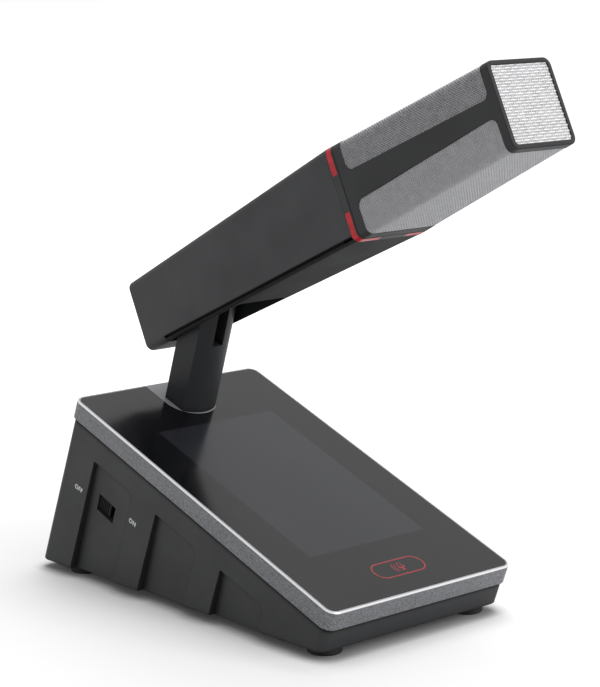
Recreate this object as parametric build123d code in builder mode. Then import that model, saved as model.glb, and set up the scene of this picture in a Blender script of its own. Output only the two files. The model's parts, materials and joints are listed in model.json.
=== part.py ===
from build123d import *
from math import cos, radians, sin, tan
import os

os.makedirs("parts", exist_ok=True)

# Conference delegate unit: a wedge-shaped base with a sloping glass panel, a neck that rises from
# the panel's rear, and a square microphone bar that tilts on a friction hinge at the neck's top.
# Millimetres, +Z up, the delegate sits towards -Y. The origin is on the table, under the middle
# of the whole unit.

# Driving dimensions of the base
panel_length = 184.0
panel_width = 109.2
panel_slope = 20.2
corner_radius = 5.1
front_wall_height = 20.0
wall = 2.2
housing_inset = 1.0

# Driving dimensions of the microphone bar
bar_pitch = 26.0
body_length = 161.0
head_length = 97.0
ring_width = 42.4
ring_height = 41.8
rear_width = 27.2
rear_height = 33.9
front_width = 36.8
front_height = 37.0
edge_radius = 3.6
rear_edge_radius = 1.2
rear_lip_length = 16.0

# Aluminium band round the panel, with a tongue that reaches in from the rear edge round the neck
band_height = 8.8
band_wall = 2.0
rim_width = 1.3
rim_chamfer = 0.6
ledge_width = 3.0
ledge_thickness = 2.0
tongue_radius = 13.1
tongue_nose_setback = 30.5

# Glass, display and touch key
glass_thickness = 1.8
glass_play = 0.1
display_width = 76.0
display_length = 116.0
display_thickness = 4.6
display_shift = -0.5
key_board_width = 44.0
key_board_length = 18.0
key_board_thickness = 1.2
key_setback = 17.7

# Neck, hinge and the fork at the neck's top
neck_width = 20.0
neck_depth = 17.2
neck_nose_radius = 15.0
neck_nose_setback = 29.4
neck_lean = 2.7
neck_play = 0.15
hinge_height = 59.0
slot_width = 6.0
cable_slot_base = 34.0
cable_slot_depth = 9.0
cable_bore_radius = 2.6
lug_radius = 7.4
lug_clearance = 1.1
pin_radius = 2.5
pin_play = 0.05
pin_end_recess = 0.5
washer_radius = 6.4
washer_thickness = 0.6
washer_play = 0.05
flange_width = 36.0
flange_thickness = 3.2
flange_margin = 3.4
neck_screw_radius = 1.4
neck_screw_head_radius = 2.6
neck_screw_head_height = 1.8
neck_screw_reach = 1.4
neck_screw_margin = 4.0

# Lower housing: relief pockets, bosses and the gap under the band
shadow_gap = 0.9
lip_play = 0.1
base_edge_radius = 1.2
pocket_length = 30.0
pocket_pitch = 46.8
pocket_centre = 7.9
pocket_top = 21.3
pocket_front_depth = 0.8
pocket_rear_depth = 2.0
pocket_foot_depth = 3.6
pocket_corner_radius = 4.0
pocket_small_radius = 0.6
screw_boss_radius = 3.6
screw_boss_height = 12.0
screw_boss_sink = 3.0
front_boss_setback = 29.4

# Bottom plate, feet and its screws
plate_thickness = 1.6
plate_play = 0.2
foot_height = 3.3
foot_radius = 7.4
foot_edge_radius = 0.8
foot_stem_radius = 3.0
foot_head_radius = 3.7
foot_head_height = 1.6
foot_play = 0.05
foot_side_setback = 12.1
foot_front_setback = 10.1
foot_rear_setback = 22.2
plate_screw_radius = 1.4
plate_screw_head_radius = 2.7
plate_screw_head_height = 1.2
plate_screw_length = 9.0
screw_play = 0.05

# Main board on its pillars
board_width = 76.0
board_length = 96.0
board_thickness = 1.6
board_height = 7.0
board_shift = 18.0
pillar_radius = 2.6
board_screw_radius = 1.2
board_screw_head_radius = 2.2
board_screw_head_height = 1.3
board_screw_margin = 4.0
board_screw_length = 5.6
chip_size = 16.0
chip_height = 1.4
chip_shift = 14.0
supply_block_width = 22.0
supply_block_length = 14.0
supply_block_height = 9.0

# Network sockets behind the rear wall
socket_width = 16.2
socket_height = 13.4
socket_depth = 17.0
socket_recess = 0.4
socket_mouth_width = 11.8
socket_mouth_height = 8.4
socket_mouth_depth = 13.0
socket_key_width = 6.2
socket_key_height = 1.8
socket_spacing = 28.0
socket_drop = 62.0
socket_play = 0.15
socket_board_margin = 4.0
socket_board_height = 20.0
socket_board_thickness = 1.6
socket_post_radius = 2.8
socket_post_gap = 2.1
socket_screw_radius = 1.2
socket_screw_head_radius = 2.2
socket_screw_head_height = 1.3
socket_screw_length = 7.0

# Power switch in the rear pocket of the left wall
switch_window_length = 13.0
switch_window_height = 8.2
switch_along = 56.9
switch_below = 39.4
switch_body_length = 19.0
switch_body_height = 11.0
switch_body_depth = 7.0
switch_slot_length = 9.6
switch_slot_height = 4.4
switch_slot_depth = 4.0
slider_stem_length = 5.0
slider_cap_length = 8.6
slider_cap_height = 6.6
slider_cap_thickness = 1.1
slider_groove_width = 0.6
slider_groove_depth = 0.4
slider_groove_count = 5
slider_groove_pitch = 1.3
slider_play = 0.1
slider_rest = 1.9

# Microphone body shell and the cover under it
shell_wall = 1.6
inner_radius = 0.8
cover_height = 2.9
cover_thickness = 1.5
cover_inset = 0.4
cover_edge_radius = 0.8
cover_front_radius = 2.0
cover_rim_height = 6.5
cover_rim_wall = 0.9
cover_slot_reach = 27.8
cover_slot_radius = 3.0
fit_gap = 0.15

# Tilt bracket that hangs from the shell's roof and takes the hinge pin
hinge_to_rear = 45.2
hinge_drop = 2.6
bracket_width = 24.0
bracket_length = 42.0
bracket_thickness = 2.4
bracket_top = 12.6
bracket_corner_radius = 3.0
bracket_boss_radius = 2.8
bracket_boss_inset = 3.6
bracket_screw_radius = 1.2
bracket_screw_head_radius = 2.3
bracket_screw_head_height = 1.4
bracket_screw_length = 5.4

# Light ring and its four corner segments
light_ring_length = 4.3
light_ring_wall = 3.0
light_start = 0.5
light_width = 3.0
light_depth = 1.2
light_play = 0.05
light_gap_across = 15.4
light_gap_up = 16.4
seam_chamfer = 0.3

# Head frame, its windows and its meshes
frame_wall = 2.0
spigot_length = 7.0
spigot_wall = 1.2
spigot_flange = 1.4
window_start = 9.4
front_rim_length = 4.0
window_radius = 3.4
side_bar_start = 13.2
side_bar_end = 7.8
side_bar_rise = 0.6
mesh_thickness = 0.8
mesh_inset = 0.35
mesh_play = 0.1
front_mesh_recess = 0.5
front_mesh_thickness = 0.8
front_seat_width = 1.2
front_edge_radius = 0.5

# Inside the head
inside_play = 0.1
microphone_board_thickness = 1.6
capsule_setback = 17.0
capsule_holder_thickness = 3.0
capsule_radius = 5.0
capsule_length = 6.6
capsule_face_radius = 3.2
capsule_face_depth = 0.5
foam_gap = 0.2

# One overrun serves all cuts
overrun = 60.0


# Places that follow from the driving dimensions
slope = radians(panel_slope)
pitch = radians(bar_pitch)
lean = tan(radians(neck_lean))
half_width = panel_width / 2
half_length = panel_length / 2
rear_wall_height = front_wall_height + panel_length * tan(slope)
hinge_to_ring = body_length - hinge_to_rear
panel_height = foot_height + half_length * sin(slope) + front_wall_height * cos(slope)
neck_nose = half_length - neck_nose_setback
hinge_along = neck_nose + neck_depth / 2 + hinge_height * lean
rear_face = half_length - housing_inset
rear_foot = front_wall_height + (half_length + rear_face) * tan(slope)
rear_reach = rear_face * cos(slope) + rear_foot * sin(slope)
front_reach = (
    (hinge_to_ring + head_length) * cos(pitch)
    + (front_height / 2 - hinge_drop - front_edge_radius) * sin(pitch)
    + hinge_height * sin(slope)
    - hinge_along * cos(slope)
)
panel_shift = (front_reach - rear_reach) / 2

slope_direction = Vector(0, cos(slope), sin(slope))
panel_normal = Vector(0, -sin(slope), cos(slope))
panel = Plane(origin=(0, panel_shift, panel_height), x_dir=(1, 0, 0), z_dir=panel_normal)
base_side = Plane(origin=panel.origin, x_dir=slope_direction, z_dir=(1, 0, 0))
underside = Plane.XY.offset(foot_height)
plate_top = Plane.XY.offset(foot_height + plate_thickness)
hinge = panel.from_local_coords(Vector(0, hinge_along, hinge_height))

bar_direction = Vector(0, -cos(pitch), sin(pitch))
bar_up = Vector(0, sin(pitch), cos(pitch))
bar_origin = hinge + bar_direction * hinge_to_ring + bar_up * hinge_drop
bar = Plane(origin=bar_origin, x_dir=(1, 0, 0), z_dir=bar_direction)
bar_side = Plane(origin=bar_origin, x_dir=bar_direction, z_dir=(-1, 0, 0))
bar_plan = Plane(origin=bar_origin, x_dir=(1, 0, 0), z_dir=bar_up)
bar_ceiling = Plane(origin=bar_origin, x_dir=(1, 0, 0), z_dir=-bar_up)

front_edge = panel_shift - half_length * cos(slope) + front_wall_height * sin(slope)
rear_edge = panel_shift + half_length * cos(slope) + rear_wall_height * sin(slope)
housing_top = band_height + shadow_gap
ledge_under = glass_thickness + ledge_thickness
ledge_reach = band_wall + ledge_width
window_end = head_length - front_rim_length


# Outlines and forms that several pieces share
def panel_outline(inset, mode=Mode.ADD):
    """The panel's rounded outline, drawn in by inset."""
    radius = max(corner_radius - inset, inner_radius)
    RectangleRounded(panel_width - 2 * inset, panel_length - 2 * inset, radius, mode=mode)


def tongue_outline(grow):
    """The tongue from its round nose to beyond the rear edge, grown by grow."""
    radius = tongue_radius + grow
    with Locations((0, half_length - tongue_nose_setback + tongue_radius)):
        Circle(radius)
        Rectangle(2 * radius, panel_length, align=(Align.CENTER, Align.MIN))


def neck_outline(grow, rise):
    """The neck's section at a height: flat sides and rear, an arched nose, grown by grow."""
    half = neck_width / 2 + grow
    nose = neck_nose + rise * lean - grow
    rear = neck_nose + rise * lean + neck_depth + grow
    radius = neck_nose_radius + grow
    shoulder = nose + radius - (radius**2 - half**2) ** 0.5
    with BuildSketch() as outline:
        with BuildLine():
            ThreePointArc((-half, shoulder), (0, nose), (half, shoulder))
            Polyline((half, shoulder), (half, rear), (-half, rear), (-half, shoulder))
        make_face()
    return outline.sketch


def bar_width(along):
    """Width of the bar at a distance along it from the light ring, forward positive."""
    if along < 0:
        return ring_width + (ring_width - rear_width) * along / body_length
    return ring_width - (ring_width - front_width) * along / head_length


def bar_height(along):
    """Height of the bar at a distance along it from the light ring, forward positive."""
    if along < 0:
        return ring_height + (ring_height - rear_height) * along / body_length
    return ring_height - (ring_height - front_height) * along / head_length


def bar_form(start, end, inset, radii=None, end_inset=None):
    """A stretch of the tapering square bar, drawn in by inset all round, or at its end by end_inset."""
    insets = (inset, inset if end_inset is None else end_inset)
    usual = [max(edge_radius - drawn_in, inner_radius) for drawn_in in insets]
    with BuildPart() as form:
        for along, drawn_in, radius in zip((start, end), insets, radii or usual):
            with BuildSketch(bar.offset(along)):
                RectangleRounded(bar_width(along) - 2 * drawn_in, bar_height(along) - 2 * drawn_in, radius)
        loft(ruled=True)
    return form.part


def underside_slab(start, end, low, high):
    """A slab along the bar's underside, between two heights above it."""
    with BuildPart() as slab:
        with BuildSketch(bar_side):
            with BuildLine():
                Polyline(
                    (start, low - bar_height(start) / 2),
                    (end, low - bar_height(end) / 2),
                    (end, high - bar_height(end) / 2),
                    (start, high - bar_height(start) / 2),
                    close=True,
                )
            make_face()
        extrude(amount=ring_width, both=True)
    return slab.part


def plan_form(start, end, inset):
    """A stretch of the bar seen from above, drawn in by inset at its sides, at its full height."""
    with BuildPart() as form:
        with BuildSketch(bar_plan):
            with BuildLine():
                Polyline(
                    (inset - bar_width(end) / 2, -end),
                    (bar_width(end) / 2 - inset, -end),
                    (bar_width(start) / 2 - inset, -start),
                    (inset - bar_width(start) / 2, -start),
                    close=True,
                )
            make_face()
        extrude(amount=ring_height, both=True)
    return form.part


def window_form(side, play):
    """The space of one mesh window, above (side 1) or below (side -1) the side bars."""
    start = window_start + play
    end = window_end - play
    near = side_bar_rise + side * (side_bar_start / 2 + play)
    far = side_bar_rise + side * (side_bar_end / 2 + play)
    with BuildPart() as window:
        with BuildSketch(bar_side):
            with BuildLine():
                Polyline(
                    (start, near),
                    (end, far),
                    (end, side * ring_height),
                    (start, side * ring_height),
                    close=True,
                )
            make_face()
            inner = vertices().sort_by(lambda corner: abs(corner.Y))[:2]
            fillet(inner, radius=window_radius - play)
        extrude(amount=ring_width, both=True)
    return window.part


def fasteners(plane, places, shank_radius, shank_length, head_radius, head_height):
    """Screws whose heads stand on the plane and whose shanks go down through it."""
    with BuildPart() as screws:
        with BuildSketch(plane):
            with Locations(*places):
                Circle(head_radius)
        extrude(amount=head_height)
        with BuildSketch(plane):
            with Locations(*places):
                Circle(shank_radius)
        extrude(amount=-shank_length)
    return screws.part


# The housing's outer form, a wedge whose walls stand square to the panel
with BuildPart() as housing_form:
    with BuildSketch(panel.offset(-housing_top)):
        panel_outline(housing_inset)
    extrude(amount=-(rear_wall_height + overrun))
    split(bisect_by=underside, keep=Keep.TOP)
    fillet(faces().sort_by(Axis.Z)[0].edges(), radius=base_edge_radius)


def pocket_form(middle, grow):
    """The cut of one relief pocket in the left wall, or with grow the wall that backs it."""
    rear = middle + pocket_length / 2
    front = middle - pocket_length / 2
    foot = front_wall_height + (rear + half_length) * tan(slope)
    face = housing_inset - half_width + grow
    rear_top = panel.from_local_coords(Vector(face + pocket_rear_depth, rear, -pocket_top))
    rear_low = panel.from_local_coords(Vector(face + pocket_foot_depth, rear, -foot))
    front_top = panel.from_local_coords(Vector(face + pocket_front_depth, front, -pocket_top))
    inward = (rear_low - rear_top).cross(front_top - rear_top)
    if inward.X < 0:
        inward = -inward
    pocket_floor = Plane(origin=rear_top, x_dir=front_top - rear_top, z_dir=inward)
    with BuildPart() as form:
        with BuildSketch(base_side.offset(-half_width - overrun)):
            with BuildLine():
                Polyline(
                    (rear + grow, -pocket_top + grow),
                    (front - grow, -pocket_top + grow),
                    (front - grow, -foot - overrun),
                    (rear + grow, -foot - overrun),
                    close=True,
                )
            make_face()
            fillet(vertices().group_by(Axis.Y)[-1].sort_by(Axis.X)[0], radius=pocket_corner_radius)
            fillet(vertices().group_by(Axis.Y)[-1].sort_by(Axis.X)[-1], radius=pocket_small_radius)
        extrude(amount=half_width + overrun)
        split(bisect_by=pocket_floor, keep=Keep.BOTTOM)
    return form.part


pocket_middles = [pocket_centre + step * pocket_pitch for step in (-1, 0, 1)]
pocket_cuts = [pocket_form(middle, 0) for middle in pocket_middles]
pocket_backs = [pocket_form(middle, wall) & housing_form.part for middle in pocket_middles]
plate_cuts = [pocket_form(middle, wall + plate_play) for middle in pocket_middles]

# Plane on the floor of the rear pocket, facing out, where the power switch sits
switch_floor = pocket_cuts[-1].faces().filter_by(GeomType.PLANE).sort_by(Axis.X)[-1]
floor_normal = switch_floor.normal_at()
floor_out = -floor_normal if floor_normal.X > 0 else floor_normal
switch_line = panel.from_local_coords(Vector(0, switch_along, -switch_below))
floor_offset = (switch_floor.center() - switch_line).dot(floor_out) / floor_out.X
switch_place = switch_line + Vector(floor_offset, 0, 0)
switch_axis = slope_direction - floor_out * slope_direction.dot(floor_out)
switch = Plane(origin=switch_place, x_dir=switch_axis, z_dir=floor_out)

# Rear wall, seen from outside and from inside, with the posts clear of the sockets
socket_centre = panel.from_local_coords(Vector(0, rear_face, -socket_drop))
socket_wall = Plane(origin=socket_centre, x_dir=(-1, 0, 0), z_dir=slope_direction)
socket_back = Plane(origin=socket_centre, x_dir=(1, 0, 0), z_dir=-slope_direction)
socket_board_face = socket_recess + socket_depth
socket_post_spacing = socket_spacing + socket_width + 2 * (socket_post_radius + socket_post_gap)

# Places of fasteners and feet
boss_across = half_width - housing_inset - wall - screw_boss_sink
boss_front = front_edge + front_boss_setback
boss_rear = (
    rear_edge
    - (housing_inset + wall) / cos(slope)
    - (plate_thickness + screw_boss_height) * tan(slope)
    - screw_boss_sink
)
plate_screw_places = [(side * boss_across, along) for side in (-1, 1) for along in (boss_front, boss_rear)]
foot_across = half_width - foot_side_setback
foot_front = front_edge + foot_front_setback
foot_rear = rear_edge - foot_rear_setback
foot_places = {
    "foot_front_left": (-foot_across, foot_front),
    "foot_front_right": (foot_across, foot_front),
    "foot_rear_left": (-foot_across, foot_rear),
    "foot_rear_right": (foot_across, foot_rear),
}
board_middle = panel_shift + board_shift
pillar_across = board_width / 2 - board_screw_margin
pillar_along = board_length / 2 - board_screw_margin
pillar_places = [
    (side * pillar_across, board_middle + end * pillar_along) for side in (-1, 1) for end in (-1, 1)
]
flange_length = neck_depth + 2 * flange_margin
flange_middle = neck_nose + neck_depth / 2
neck_screw_across = flange_width / 2 - neck_screw_margin
neck_screw_along = flange_length / 2 - neck_screw_margin
neck_screw_places = [
    (side * neck_screw_across, flange_middle + end * neck_screw_along)
    for side in (-1, 1)
    for end in (-1, 1)
]
bracket_screw_across = bracket_width / 2 - bracket_boss_inset
bracket_screw_along = bracket_length / 2 - bracket_boss_inset
bracket_screw_places = [
    (side * bracket_screw_across, hinge_to_ring + end * bracket_screw_along)
    for side in (-1, 1)
    for end in (-1, 1)
]

# Lower housing: three relief pockets a side, an inner lip that goes up inside the band, screw bosses,
# a window for the switch, two windows and two posts for the sockets
with BuildPart() as lower_housing:
    add(housing_form.part)
    with BuildSketch(panel.offset(-ledge_under)):
        panel_outline(band_wall + lip_play)
    extrude(amount=ledge_under - housing_top)
    with BuildSketch(panel.offset(-ledge_under)):
        panel_outline(housing_inset + wall)
    extrude(amount=-(rear_wall_height + overrun), mode=Mode.SUBTRACT)
    for back in pocket_backs:
        add(back)
        add(back.mirror(Plane.YZ))
    for cut in pocket_cuts:
        add(cut, mode=Mode.SUBTRACT)
        add(cut.mirror(Plane.YZ), mode=Mode.SUBTRACT)
    with BuildSketch(plate_top):
        with Locations(*plate_screw_places):
            Circle(screw_boss_radius)
    extrude(amount=screw_boss_height)
    with BuildSketch(plate_top):
        with Locations(*plate_screw_places):
            Circle(plate_screw_radius + screw_play)
    extrude(amount=plate_screw_length, mode=Mode.SUBTRACT)
    with BuildSketch(switch):
        Rectangle(switch_window_length, switch_window_height)
    extrude(amount=2 * wall, both=True, mode=Mode.SUBTRACT)
    with BuildSketch(socket_wall):
        with GridLocations(socket_spacing, 0, 2, 1):
            Rectangle(socket_width + 2 * socket_play, socket_height + 2 * socket_play)
    extrude(amount=-2 * wall, mode=Mode.SUBTRACT)
    with BuildSketch(socket_wall.offset(-wall)):
        with GridLocations(socket_post_spacing, 0, 2, 1):
            Circle(socket_post_radius)
    extrude(amount=wall - socket_board_face)
    with BuildSketch(socket_wall.offset(-socket_board_face)):
        with GridLocations(socket_post_spacing, 0, 2, 1):
            Circle(socket_screw_radius + screw_play)
    extrude(amount=socket_screw_length, mode=Mode.SUBTRACT)
lower_housing.part.label = "lower_housing"
export_step(lower_housing.part, "parts/lower_housing.step")

# Bottom plate: pressed steel with slanted edges that follow the walls, four pillars for the board
with BuildPart() as bottom_plate:
    with BuildSketch(panel.offset(-housing_top)):
        panel_outline(housing_inset + wall + plate_play)
    extrude(amount=-(rear_wall_height + overrun))
    split(bisect_by=underside, keep=Keep.TOP)
    split(bisect_by=plate_top, keep=Keep.BOTTOM)
    for cut in plate_cuts:
        add(cut, mode=Mode.SUBTRACT)
        add(cut.mirror(Plane.YZ), mode=Mode.SUBTRACT)
    with BuildSketch(plate_top):
        with Locations(*pillar_places):
            Circle(pillar_radius)
    extrude(amount=board_height)
    with BuildSketch(plate_top.offset(board_height)):
        with Locations(*pillar_places):
            Circle(board_screw_radius + screw_play)
    extrude(amount=-board_screw_length, mode=Mode.SUBTRACT)
    with BuildSketch(underside):
        with Locations(*foot_places.values()):
            Circle(foot_stem_radius + foot_play)
        with Locations(*plate_screw_places):
            Circle(plate_screw_radius + screw_play)
    extrude(amount=plate_thickness, mode=Mode.SUBTRACT)
bottom_plate.part.label = "bottom_plate"
export_step(bottom_plate.part, "parts/bottom_plate.step")

bottom_screws = fasteners(
    Plane(origin=underside.origin, x_dir=(-1, 0, 0), z_dir=(0, 0, -1)),
    [(-across, along) for across, along in plate_screw_places],
    plate_screw_radius,
    plate_screw_length,
    plate_screw_head_radius,
    plate_screw_head_height,
)
bottom_screws.label = "bottom_screws"
export_step(bottom_screws, "parts/bottom_screws.step")

# Feet: rubber discs pushed through the plate, held by a head above it
for name, (across, along) in foot_places.items():
    with BuildPart() as foot:
        with BuildSketch(Plane.XZ):
            with BuildLine():
                Polyline(
                    (0, 0),
                    (foot_radius, 0),
                    (foot_radius, foot_height),
                    (foot_stem_radius, foot_height),
                    (foot_stem_radius, foot_height + plate_thickness),
                    (foot_head_radius, foot_height + plate_thickness),
                    (foot_stem_radius, foot_height + plate_thickness + foot_head_height),
                    (0, foot_height + plate_thickness + foot_head_height),
                    close=True,
                )
            make_face()
            fillet(vertices().sort_by(Axis.Y)[:2].sort_by(Axis.X)[-1], radius=foot_edge_radius)
        revolve(axis=Axis.Z)
    placed_foot = Pos(across, along, 0) * foot.part
    placed_foot.label = name
    export_step(placed_foot, "parts/" + name + ".step")

# Trim frame: an L-shaped band that holds the glass, with the tongue round the neck and the pad
# under the glass that the neck is screwed to
with BuildPart() as trim_frame:
    with BuildSketch(panel):
        panel_outline(0)
    extrude(amount=-band_height)
    chamfer(faces().sort_by(Axis(panel.origin, panel.z_dir))[-1].edges(), length=rim_chamfer)
    with BuildSketch(panel):
        panel_outline(rim_width)
    extrude(amount=-glass_thickness, mode=Mode.SUBTRACT)
    with BuildSketch(panel):
        panel_outline(ledge_reach)
    extrude(amount=-band_height, mode=Mode.SUBTRACT)
    with BuildSketch(panel.offset(-ledge_under)):
        panel_outline(band_wall)
    extrude(amount=ledge_under - band_height, mode=Mode.SUBTRACT)
    with BuildSketch(panel.offset(-glass_thickness)):
        with Locations((0, flange_middle - flange_length / 2)):
            Rectangle(flange_width, half_length - flange_middle, align=(Align.CENTER, Align.MIN))
    extrude(amount=-ledge_thickness)
    with BuildSketch(panel):
        tongue_outline(0)
        panel_outline(rim_width, mode=Mode.INTERSECT)
    extrude(amount=-ledge_under)
    with BuildSketch(panel):
        add(neck_outline(neck_play, 0))
    extrude(amount=-ledge_under, mode=Mode.SUBTRACT)
    with BuildSketch(panel.offset(-ledge_under)):
        with Locations(*neck_screw_places):
            Circle(neck_screw_radius + screw_play)
    extrude(amount=neck_screw_reach, mode=Mode.SUBTRACT)
trim_frame.part.label = "trim_frame"
export_step(trim_frame.part, "parts/trim_frame.step")

# Glass panel, notched round the tongue
with BuildPart() as glass_panel:
    with BuildSketch(panel):
        panel_outline(rim_width + glass_play)
    extrude(amount=-glass_thickness)
    with BuildSketch(panel):
        tongue_outline(glass_play)
    extrude(amount=-glass_thickness, mode=Mode.SUBTRACT)
glass_panel.part.label = "glass_panel"
export_step(glass_panel.part, "parts/glass_panel.step")

# Display module and the sensor board of the touch key, both bonded under the glass
with BuildPart() as display_module:
    with BuildSketch(panel.offset(-glass_thickness)):
        with Locations((0, display_shift)):
            Rectangle(display_width, display_length)
    extrude(amount=-display_thickness)
display_module.part.label = "display_module"
export_step(display_module.part, "parts/display_module.step")

with BuildPart() as touch_key_board:
    with BuildSketch(panel.offset(-glass_thickness)):
        with Locations((0, key_setback - half_length)):
            Rectangle(key_board_width, key_board_length)
    extrude(amount=-key_board_thickness)
touch_key_board.part.label = "touch_key_board"
export_step(touch_key_board.part, "parts/touch_key_board.step")

# Main board with its processor and supply block, on the bottom plate's pillars
board_top = plate_top.offset(board_height + board_thickness)
with BuildPart() as main_board:
    with BuildSketch(plate_top.offset(board_height)):
        with Locations((0, board_middle)):
            Rectangle(board_width, board_length)
        with Locations(*pillar_places):
            Circle(board_screw_radius + screw_play, mode=Mode.SUBTRACT)
    extrude(amount=board_thickness)
    with BuildSketch(board_top):
        with Locations((-chip_shift, board_middle)):
            Rectangle(chip_size, chip_size)
    extrude(amount=chip_height)
    with BuildSketch(board_top):
        with Locations((chip_shift, board_middle + chip_shift)):
            Rectangle(supply_block_width, supply_block_length)
    extrude(amount=supply_block_height)
main_board.part.label = "main_board"
export_step(main_board.part, "parts/main_board.step")

board_screws = fasteners(
    board_top,
    pillar_places,
    board_screw_radius,
    board_screw_length,
    board_screw_head_radius,
    board_screw_head_height,
)
board_screws.label = "board_screws"
export_step(board_screws, "parts/board_screws.step")

# Network sockets: each a block with a mouth and its key slot, soldered to a board on two posts
for name, side in (("network_socket_left", 1), ("network_socket_right", -1)):
    with BuildPart() as socket:
        with BuildSketch(socket_wall.offset(-socket_recess)):
            with Locations((side * socket_spacing / 2, 0)):
                Rectangle(socket_width, socket_height)
        extrude(amount=-socket_depth)
        with BuildSketch(socket_wall.offset(-socket_recess)):
            with Locations((side * socket_spacing / 2, 0)):
                Rectangle(socket_mouth_width, socket_mouth_height)
            with Locations((side * socket_spacing / 2, -socket_mouth_height / 2)):
                Rectangle(socket_key_width, 2 * socket_key_height)
        extrude(amount=-socket_mouth_depth, mode=Mode.SUBTRACT)
    socket.part.label = name
    export_step(socket.part, "parts/" + name + ".step")

with BuildPart() as socket_board:
    with BuildSketch(socket_wall.offset(-socket_board_face)):
        Rectangle(socket_post_spacing + 2 * socket_board_margin, socket_board_height)
        with GridLocations(socket_post_spacing, 0, 2, 1):
            Circle(socket_screw_radius + screw_play, mode=Mode.SUBTRACT)
    extrude(amount=-socket_board_thickness)
socket_board.part.label = "socket_board"
export_step(socket_board.part, "parts/socket_board.step")

socket_screws = fasteners(
    socket_back.offset(socket_board_face + socket_board_thickness),
    [(-socket_post_spacing / 2, 0), (socket_post_spacing / 2, 0)],
    socket_screw_radius,
    socket_screw_length,
    socket_screw_head_radius,
    socket_screw_head_height,
)
socket_screws.label = "socket_screws"
export_step(socket_screws, "parts/socket_screws.step")

# Power switch: a body behind the wall, and a slider with a ribbed cap in the window
slider_height = switch_slot_height - 2 * slider_play
with BuildPart() as power_switch_body:
    with BuildSketch(switch.offset(-wall)):
        Rectangle(switch_body_length, switch_body_height)
    extrude(amount=-switch_body_depth)
    with BuildSketch(switch.offset(-wall)):
        Rectangle(switch_slot_length, switch_slot_height)
    extrude(amount=-switch_slot_depth, mode=Mode.SUBTRACT)
power_switch_body.part.label = "power_switch_body"
export_step(power_switch_body.part, "parts/power_switch_body.step")

with BuildPart() as power_switch_slider:
    with BuildSketch(switch.offset(slider_play - wall)):
        with Locations((slider_rest, 0)):
            Rectangle(slider_cap_length, slider_cap_height)
    extrude(amount=slider_cap_thickness)
    with BuildSketch(switch.offset(slider_play - wall)):
        with Locations((slider_rest, 0)):
            Rectangle(slider_stem_length, slider_height)
    extrude(amount=-switch_slot_depth)
    with BuildSketch(switch.offset(slider_play - wall + slider_cap_thickness)):
        with Locations((slider_rest, 0)):
            with GridLocations(slider_groove_pitch, 0, slider_groove_count, 1):
                Rectangle(slider_groove_width, slider_cap_height)
    extrude(amount=-slider_groove_depth, mode=Mode.SUBTRACT)
power_switch_slider.part.label = "power_switch_slider"
export_step(power_switch_slider.part, "parts/power_switch_slider.step")

# Neck: a flange under the pad, a leaning column through the tongue, and a fork for the hinge.
# The cable slot opens in its nose and the fork's slot goes right through.
cheek_radius = neck_depth / 2
fork_base = hinge_height - lug_radius - lug_clearance
lug_width = slot_width - 2 * (washer_thickness + washer_play)
with BuildPart() as neck_post:
    with BuildSketch(panel.offset(-ledge_under)):
        with Locations((0, flange_middle)):
            RectangleRounded(flange_width, flange_length, flange_margin)
    extrude(amount=-flange_thickness)
    with BuildSketch(panel.offset(-ledge_under)):
        add(neck_outline(0, 0))
    extrude(amount=ledge_under)
    with BuildSketch(panel):
        add(neck_outline(0, 0))
    with BuildSketch(panel.offset(hinge_height + cheek_radius)):
        add(neck_outline(0, hinge_height + cheek_radius))
    loft(ruled=True)
    with BuildSketch(base_side):
        with BuildLine():
            ThreePointArc(
                (hinge_along - cheek_radius, hinge_height),
                (hinge_along, hinge_height + cheek_radius),
                (hinge_along + cheek_radius, hinge_height),
            )
            Polyline(
                (hinge_along + cheek_radius, hinge_height),
                (hinge_along + 2 * cheek_radius, hinge_height),
                (hinge_along + 2 * cheek_radius, hinge_height + 2 * cheek_radius),
                (hinge_along - 2 * cheek_radius, hinge_height + 2 * cheek_radius),
                (hinge_along - 2 * cheek_radius, hinge_height),
                (hinge_along - cheek_radius, hinge_height),
            )
        make_face()
    extrude(amount=neck_width, both=True, mode=Mode.SUBTRACT)
    with BuildSketch(base_side):
        with Locations((hinge_along, fork_base)):
            Rectangle(2 * neck_depth, overrun, align=(Align.CENTER, Align.MIN))
        with Locations((neck_nose + cable_slot_base * lean + cable_slot_depth, cable_slot_base)):
            Rectangle(neck_depth, overrun, align=(Align.MAX, Align.MIN))
    extrude(amount=slot_width / 2, both=True, mode=Mode.SUBTRACT)
    with BuildSketch(base_side):
        with Locations((hinge_along, hinge_height)):
            Circle(pin_radius)
    extrude(amount=neck_width, both=True, mode=Mode.SUBTRACT)
    with BuildSketch(panel.offset(-ledge_under - flange_thickness)):
        with Locations(*neck_screw_places):
            Circle(neck_screw_radius + screw_play)
    extrude(amount=flange_thickness, mode=Mode.SUBTRACT)
    with BuildSketch(panel.offset(-ledge_under - flange_thickness)):
        with Locations((0, flange_middle)):
            Circle(cable_bore_radius)
    extrude(amount=ledge_under + flange_thickness + cable_slot_base + lug_radius, mode=Mode.SUBTRACT)
neck_post.part.label = "neck_post"
export_step(neck_post.part, "parts/neck_post.step")

flange_under = Plane(
    origin=panel.from_local_coords(Vector(0, 0, -ledge_under - flange_thickness)),
    x_dir=(-1, 0, 0),
    z_dir=-panel_normal,
)
neck_screws = fasteners(
    flange_under,
    [(-across, along) for across, along in neck_screw_places],
    neck_screw_radius,
    flange_thickness + neck_screw_reach,
    neck_screw_head_radius,
    neck_screw_head_height,
)
neck_screws.label = "neck_screws"
export_step(neck_screws, "parts/neck_screws.step")

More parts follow.
